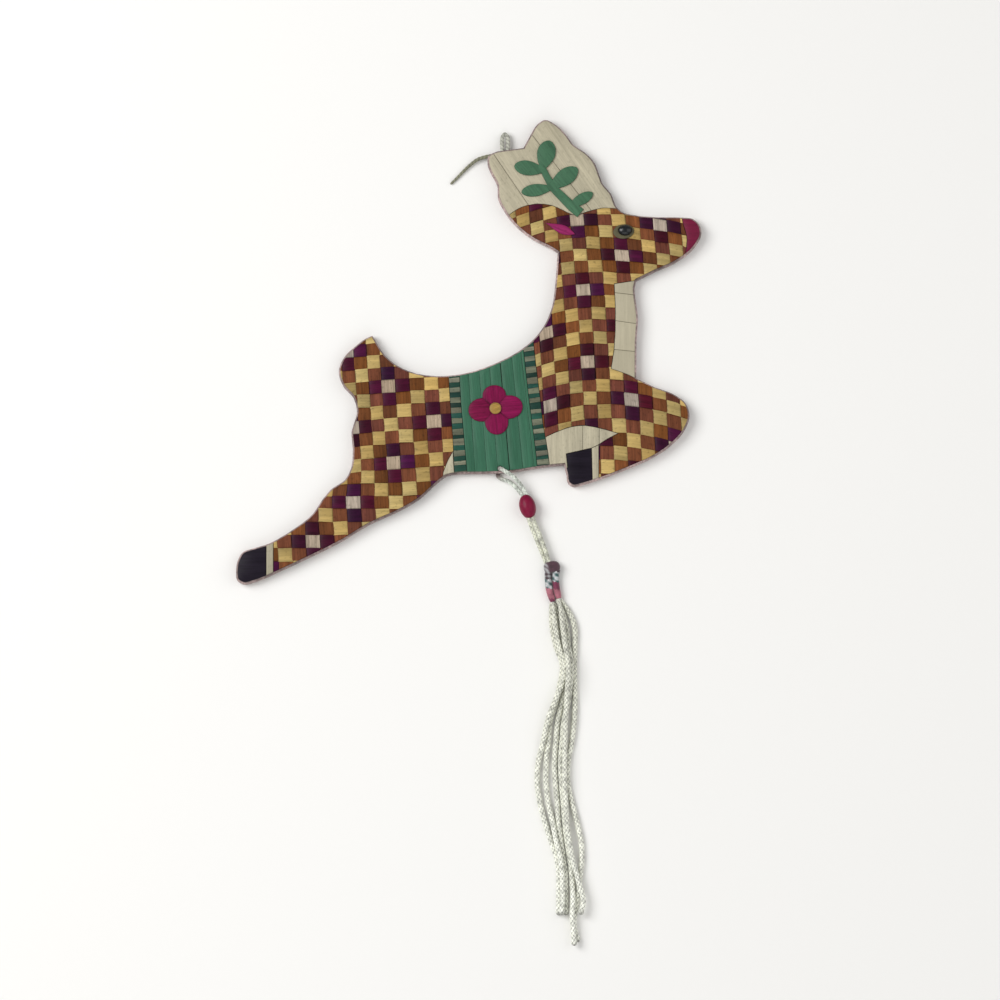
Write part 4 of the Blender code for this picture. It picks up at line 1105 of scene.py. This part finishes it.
class REINDEER_OT_tassel_cord(bpy.types.Operator):
    """Braids the doubled cord that carries the bead and the tassel"""

    bl_idname = "reindeer.tassel_cord"
    bl_label = "Tassel Cord"

    def execute(self, context):
        sizes, colours = settings(context)
        route = even_route(TASSEL_CORD, 0.16)
        full = sizes.cord / 2 / MM
        clean_cord = np.array(colours.cotton) * (0.93, 0.99, 1.03)
        handled = np.array(colours.cotton) * (0.93, 0.94, 0.9)
        # The dark mauve drawn near the hole, a painted shadow at the hole's rim
        near_hole_mauve = np.array(linear("6E5A58"))

        def radius(share, run):
            return np.full_like(run, full)

        def relief(turn, run):
            return braid_relief(turn, run, 3, 1.05)

        def dye(share, turn, proud):
            # Painted shade darkens the braid's hollows
            hollow_shade = 0.4 + 0.65 * np.clip(proud / 0.6, 0, 1) ** 1.2
            above_bead = (np.abs(share - 0.5) < 0.24)[..., None]
            # Near the hole the cord is drawn dark mauve: where it runs behind the board, and at the hole's
            # rim as a painted shadow
            behind = np.exp(-(((share - 0.54) / 0.028) ** 2))
            rim_shadow = 0.6 * np.exp(-(((share - 0.473) / 0.012) ** 2))
            in_hole = np.clip(behind + rim_shadow, 0, 1)[..., None]
            tint = np.where(above_bead, clean_cord, handled) * (1 - in_hole) + near_hole_mauve * in_hole
            return hollow_shade[..., None] * tint

        material = spun_cotton("cotton yarn, fine braid", soiled=0.42)
        cord = cord_mesh("tassel_cord_braid", route, radius, relief, 0.2, 18, dye, material)
        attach(cord, BODY)
        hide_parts("tassel_cord")
        return {"FINISHED"}


class REINDEER_OT_board(bpy.types.Operator):
    """Covers the board in its binding cloth"""

    bl_idname = "reindeer.board"
    bl_label = "Board"

    def execute(self, context):
        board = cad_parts["backing_board"]
        board.material_slots[0].link = "OBJECT"
        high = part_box("backing_board")[1][2]
        board.material_slots[0].material = binding_cloth(
            context.scene.reindeer_colours, high - 0.04 * MM, high - 0.16 * MM
        )
        return {"FINISHED"}


class REINDEER_OT_woven_panels(bpy.types.Operator):
    """Weaves the hindquarters and the forequarters"""

    bl_idname = "reindeer.woven_panels"
    bl_label = "Woven Panels"

    def execute(self, context):
        sizes, colours = settings(context)
        material = dyed_straw("split straw, dyed and woven", gloss=0.12, flecks=0.34, bands=0.2)
        for seed, (node, cells, weave) in enumerate((
            ("woven_hindquarters", HIND_CELLS, hind_weave),
            ("woven_forequarters", FORE_CELLS, fore_weave),
        ), 1):
            stand_for(woven_panel(node, cells, weave, sizes, colours, material, seed), "woven_straw", node)
        return {"FINISHED"}


class REINDEER_OT_plain_panels(bpy.types.Operator):
    """Lays the plain straw of the antler, throat, belly, nose, hoofs and cuffs"""

    bl_idname = "reindeer.plain_panels"
    bl_label = "Plain Panels"

    def execute(self, context):
        sizes, colours = settings(context)
        natural = dyed_straw("split straw, undyed and ironed", roughness=0.5, fibre=0.35)
        smooth_straw = dyed_straw(
            "split straw, undyed, inner side up", roughness=0.55, fibre=0.16, flecks=0.05, bands=0.05
        )
        black = dyed_straw("split straw, dyed black", roughness=0.4, fibre=0.8, gloss=0.12)
        wine = dyed_straw("split straw, dyed wine red", roughness=0.42, fibre=0.5)
        upright = ((0, 0), (0, -1))
        level = ((0, 0), (1, 0))
        for seed, (node, seams, dye, material, lay, slot_name) in enumerate((
            ("antler_panel", ANTLER_SEAMS, colours.natural, natural, None, "natural_straw"),
            ("throat_panel", THROAT_SEAMS, colours.natural, smooth_straw, upright, "natural_straw"),
            ("belly_panel_front", BELLY_SEAMS, colours.natural, natural, upright, "natural_straw"),
            ("belly_panel_rear", [], colours.natural, natural, upright, "natural_straw"),
            ("hind_cuff", [], np.array(colours.natural) * 0.77, natural, upright, "natural_straw"),
            ("fore_cuff", [], colours.natural, natural, upright, "natural_straw"),
            ("hind_hoof", [], colours.black, black, level, "black_straw"),
            ("fore_hoof", [], colours.black, black, level, "black_straw"),
            ("nose", [], colours.wine, wine, level, "magenta_straw"),
        ), 20):
            panel = plain_panel(f"{node}_straw", node, seams, [tuple(dye)], material, sizes, seed, lay=lay)
            stand_for(panel, slot_name, node)
        return {"FINISHED"}


class REINDEER_OT_saddle(bpy.types.Operator):
    """Lays the green saddle and its striped borders"""

    bl_idname = "reindeer.saddle"
    bl_label = "Saddle"

    def execute(self, context):
        sizes, colours = settings(context)
        green = dyed_straw(
            "split straw, dyed green", roughness=0.4, fibre=0.5, flecks=0.08, bands=0.06, per_mm=2.6
        )
        striped = dyed_straw("split straw, dyed in stripes", roughness=0.5, fibre=0.6, flecks=0.45, bands=0.3)
        saddle = plain_panel(
            "saddle_panel_straw", "saddle_panel", SADDLE_SEAMS, [tuple(colours.green)], green, sizes, 60,
            gap=0.035 * MM, lay=((8.7, -4.4), (11.3, -33.6)), edge=0.07 * MM, open_seam=3,
        )
        stand_for(saddle, "green_straw", "saddle_panel")
        luck = random.Random(71)
        dyes = [
            np.array(colours.grey if k % 2 else colours.teal) * luck.uniform(0.55, 1.15)
            * (1 + luck.uniform(-0.04, 0.08), 1, 1 + luck.uniform(-0.1, 0.06))
            for k in range(26)
        ]
        for node, start, end, first, count in (
            ("saddle_border_rear", (-4.2, -7.0), (-2.3, -34.3), 0.55, 19),
            ("saddle_border_front", (16.6, 2.5), (20.8, -33.0), 1.35, 24),
        ):
            seams = ladder(start, end, first, 1.47, count)
            border = plain_panel(
                f"{node}_straw", node, seams, dyes, striped, sizes, 70, gap=0.012 * MM, edge=0.05 * MM,
                lay=((0, 0), (1, 0.08)),
            )
            stand_for(border, "teal_straw", node)
        return {"FINISHED"}


class REINDEER_OT_trims(bpy.types.Operator):
    """Cuts the leaf sprig, the flower and the ear"""

    bl_idname = "reindeer.trims"
    bl_label = "Sprig, Flower and Ear"

    def execute(self, context):
        sizes, colours = settings(context)
        leaf = dyed_straw("split straw, dyed leaf green", roughness=0.5, fibre=0.5)
        petal = dyed_straw("split straw, dyed magenta", roughness=0.45, fibre=0.8, gloss=0.14)
        gold = dyed_straw("split straw, dyed gold", roughness=0.45)
        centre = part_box("flower_centre")
        middle = (Vector(centre[0]) + Vector(centre[1])) / 2 / MM
        pieces = [("antler_sprig", colours.leaf, leaf, ((21, 50), (30, 39)), "green_straw")]
        for k in range(1, 5):
            low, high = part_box(f"flower_petal_{k}")
            out = (Vector(low) + Vector(high)) / 2 / MM
            lay = ((middle.x, middle.y), (out.x, out.y))
            pieces.append((f"flower_petal_{k}", colours.magenta, petal, lay, "magenta_straw"))
        pieces.append(("flower_centre", colours.gold, gold, ((0, 0), (1, 0.4)), "gold_straw"))
        pieces.append(("ear", colours.pink, petal, ((21.2, 36.2), (29.7, 32.9)), "pink_straw"))
        for seed, (node, dye, material, lay, slot_name) in enumerate(pieces, 80):
            if node == "antler_sprig":
                piece = plain_panel(f"{node}_straw", node, [], [tuple(dye)], material, sizes, seed, lay=lay)
            else:
                petal_side = lay[1][0] - middle.x if "petal" in node else 0.0
                spread = 0.2 if "petal" in node else 0.0
                luck = random.Random(seed)
                tint = np.array(dye) * luck.uniform(0.96, 1.04)
                tint *= (1 + 0.02 * petal_side, 1, 1 + 0.035 * petal_side)  # painted light: petals to the right are drawn lighter and bluer, as if turned to the light
                piece = domed_piece(f"{node}_straw", node, tint, material, lay, spread=spread)
            stand_for(piece, slot_name, node)
        return {"FINISHED"}


class REINDEER_OT_eye(bpy.types.Operator):
    """Sets the glass eye on its ring"""

    bl_idname = "reindeer.eye"
    bl_label = "Eye"

    def execute(self, context):
        sizes = context.scene.reindeer_sizes
        card = dyed_straw("grey card, cut", roughness=0.8, fibre=0.3, gloss=0.2)
        ring = plain_panel("eye_ring_card", "eye_ring", [], [linear("5C5843")], card, sizes, 95)
        stand_for(ring, "dull_card", "eye_ring")
        low, high = (Vector(corner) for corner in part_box("eye"))
        middle, half = (low + high) / 2, (high - low) / 2 * 0.92
        work = bmesh.new()
        bmesh.ops.create_uvsphere(work, u_segments=48, v_segments=24, radius=1.0)
        for vert in work.verts:
            x, y, z = vert.co
            rise = z if z > 0 else z * 0.1
            height = low.z + (rise + 0.1) / 1.1 * (high.z - low.z)
            vert.co = (middle.x + x * half.x, middle.y + y * half.y, height)
        eye = finish_mesh("eye_glass", work, black_glass(), 60)
        stand_for(eye, "black_glass", "eye")
        return {"FINISHED"}


class REINDEER_OT_hanger(bpy.types.Operator):
    """Twists the hanging loop and the loose end beside it"""

    bl_idname = "reindeer.hanger"
    bl_label = "Hanging Loop"

    def execute(self, context):
        sizes, colours = settings(context)
        material = spun_cotton("cotton yarn, twisted")
        full = sizes.cord / 2 / MM
        light, dull = np.array(colours.cotton) * 0.72, np.array(linear("8B8A72"))

        def relief(turn, run):
            return twist_relief(turn, run, 2, 1.1)

        for name, knots, tint, taper in (
            ("hanger_loop", LOOP, light, 0.0),
            ("hanger_loose_end", LOOSE_END, dull, 0.4),
        ):
            def radius(share, run, taper=taper):
                tip = np.where(taper > 0, np.sqrt(np.clip((1 - share) * 40, 0.05, 1)), 1.0)
                return full * (1 - taper * share) * tip

            def dye(share, turn, proud, tint=tint):
                # Painted shade darkens the twist's hollows
                return (0.45 + 0.55 * np.clip(proud, 0, 1))[..., None] * tint

            cord = cord_mesh(f"{name}_cord", even_route(knots, 0.12), radius, relief, 0.2, 20, dye, material)
            stand_for(cord, "cotton_cord" if name == "hanger_loop" else "grey_cord", name)
        return {"FINISHED"}


class REINDEER_OT_bead(bpy.types.Operator):
    """Turns the oval bead"""

    bl_idname = "reindeer.bead"
    bl_label = "Bead"

    def execute(self, context):
        half, radius, (bore_wide, bore_deep) = BEAD["half_long"], BEAD["radius"], BEAD["bore"]
        lean = math.radians(BEAD["lean"])
        axis = Vector((math.sin(lean), -math.cos(lean), 0))
        side = Vector((axis.y, -axis.x, 0))
        centre = Vector(BEAD["centre"])
        sides, rings = 64, 36
        work = bmesh.new()
        grid = [[] for _ in range(rings + 3)]
        for s in range(sides):
            angle = 2 * math.pi * s / sides
            out = side * math.cos(angle) + Vector((0, 0, 1)) * math.sin(angle)
            bore = 1 / math.hypot(math.cos(angle) / bore_wide, math.sin(angle) / bore_deep)
            cut = half * math.sqrt(1 - (bore / radius) ** 2)
            column = []
            for k in range(rings + 1):
                height = cut * math.cos(math.pi * k / rings)
                column.append((radius * math.sqrt(1 - (height / half) ** 2), height))
            column += [(bore - 0.04, -cut + 0.1), (bore - 0.04, cut - 0.1)]
            for ring, (reach, height) in zip(grid, column):
                ring.append(work.verts.new((centre + axis * height + out * reach) * MM))
        join_rings(work, grid + grid[:1])
        bead = finish_mesh("tassel_bead_turned", work, lacquered_wood(context.scene.reindeer_colours), 40)
        stand_for(bead, "painted_bead", "tassel_bead")
        return {"FINISHED"}


class REINDEER_OT_tassel_head(bpy.types.Operator):
    """Winds the tassel's cap and its two legs"""

    bl_idname = "reindeer.tassel_head"
    bl_label = "Tassel Head"

    def execute(self, context):
        sizes = context.scene.reindeer_sizes
        material = spun_cotton("cotton thread, wound", sheen=0.4, roughness=0.6)
        thread = sizes.thread / MM
        teal, white = (np.array(linear(c)) for c in ("2B5A58", "DCDEDF"))
        magenta, rose, dark = (np.array(linear(c)) for c in ("7A2148", "B96C7C", "3E222D"))

        def relief(turn, run):
            return wound_relief(turn, run, thread)

        for side, knots in (("left", WRAP_LEFT), ("right", WRAP_RIGHT)):
            left = side == "left"
            stops = (0.3, 0.57, 0.9) if left else (0.06, 0.42, 0.68)

            def radius(share, run):
                return 1.04 - 0.1 * share - 0.22 * np.exp(-(((1 - share) * 9 / 0.6) ** 2))

            def dye(share, turn, proud, left=left, stops=stops):
                at = share + 0.04 * np.sin(2 * np.pi * (turn + 0.2)) + 0.02 * np.sin(14 * np.pi * turn)
                rising = np.sin(np.pi * (9 * share + 4 * turn))
                falling = np.sin(np.pi * (7 * share - 4 * turn))
                teal_share = np.clip(0.42 + 0.5 * rising + 0.35 * falling, 0, 1)[..., None]
                figured = white * (1 - teal_share) + teal * teal_share
                pale_share = np.clip(0.22 + 0.5 * rising * falling, 0, 0.8)[..., None]
                top = dark * (1 - pale_share) + white * pale_share if left else dark
                choices = [top, figured, rose if left else magenta, magenta if left else rose]
                index = sum((at > stop).astype(int) for stop in stops)
                tint = np.zeros(proud.shape + (3,))
                for number, choice in enumerate(choices):
                    tint = np.where((index == number)[..., None], choice, tint)
                # Painted shade darkens the thread's hollows
                return tint * (0.5 + 0.5 * np.clip(proud, 0, 1))[..., None]

            wrap = cord_mesh(
                f"tassel_wrap_{side}_thread", even_route(knots, 0.06), radius, relief, 0.1, 28, dye, material
            )
            stand_for(wrap, "wrapping_thread", f"tassel_wrap_{side}")
        self.wind_cap(material, thread, dark * 1.5, white)
        return {"FINISHED"}

    def wind_cap(self, material, thread, dark, pale):
        """A rounded head of thread wound round it, flecked with pale thread on its left."""
        wide, deep, tall = CAP["size"]
        turn = math.radians(CAP["turn"])
        centre = Vector(CAP["centre"])
        rings, sides = 44, 56
        work = bmesh.new()
        grid = []
        for k in range(rings + 1):
            rise = -1 + 2 * k / rings
            reach = max(0.0, 1 - abs(rise) ** 3.2) ** 0.5
            groove = 1 - 0.05 * (1 - abs(math.sin(math.pi * rise * deep / 2 / thread)) ** 0.6)
            ring = []
            for s in range(sides):
                angle = 2 * math.pi * s / sides
                x, z = math.cos(angle), math.sin(angle)
                square = (abs(x) ** 2.6 + abs(z) ** 2.6) ** (1 / 2.6)
                place = Vector((x / square * wide / 2, rise * deep / 2, z / square * tall / 2))
                place.x *= reach * groove * (1 - 0.12 * max(rise, 0))
                place.z *= reach * groove
                place = Vector((
                    place.x * math.cos(turn) - place.y * math.sin(turn),
                    place.x * math.sin(turn) + place.y * math.cos(turn), place.z,
                ))
                ring.append(work.verts.new((centre + place) * MM))
            grid.append(ring)
        join_rings(work, grid)
        bmesh.ops.remove_doubles(work, verts=work.verts[:], dist=1e-7)
        cap = finish_mesh("tassel_cap_thread", work, material, 60)
        places = corner_places(cap.data)
        x, y = places[:, 0] / MM - centre.x, places[:, 1] / MM - centre.y
        pale_share = np.clip(-0.9 - x - 0.3 * y, 0, 0.75) * (0.6 + 0.4 * np.sin(4 * x + 5 * y))
        rgb = dark * (1 - pale_share[:, None]) + pale * pale_share[:, None]
        paint(cap.data, rgb, places[:, :2] / MM * 3)
        stand_for(cap, "wrapping_thread", "tassel_cap")


OPERATORS = (
    REINDEER_OT_stage,
    REINDEER_OT_strands,
    REINDEER_OT_tassel_cord,
    REINDEER_OT_hanger,
    REINDEER_OT_board,
    REINDEER_OT_woven_panels,
    REINDEER_OT_plain_panels,
    REINDEER_OT_saddle,
    REINDEER_OT_trims,
    REINDEER_OT_eye,
    REINDEER_OT_bead,
    REINDEER_OT_tassel_head,
)


class REINDEER_PT_sidebar(bpy.types.Panel):
    """Lists the ornament's sizes, dyes and steps"""

    bl_idname = "REINDEER_PT_sidebar"
    bl_label = "Woven Reindeer"
    bl_space_type = "VIEW_3D"
    bl_region_type = "UI"
    bl_category = "Reindeer"

    def draw(self, context):
        for group in (context.scene.reindeer_sizes, context.scene.reindeer_colours):
            box = self.layout.box()
            for name in group.__annotations__:
                box.prop(group, name)
        for operator in OPERATORS:
            self.layout.operator(operator.bl_idname)


CLASSES = (ReindeerSizes, ReindeerColours, *OPERATORS, REINDEER_PT_sidebar)


def register():
    for cls in CLASSES:
        bpy.utils.register_class(cls)
    bpy.types.Scene.reindeer_sizes = bpy.props.PointerProperty(type=ReindeerSizes)
    bpy.types.Scene.reindeer_colours = bpy.props.PointerProperty(type=ReindeerColours)


def unregister():
    del bpy.types.Scene.reindeer_sizes
    del bpy.types.Scene.reindeer_colours
    for cls in reversed(CLASSES):
        bpy.utils.unregister_class(cls)


def main():
    register()
    for operator in OPERATORS:
        group, name = operator.bl_idname.split(".")
        getattr(getattr(bpy.ops, group), name)()


if __name__ == "__main__":
    main()
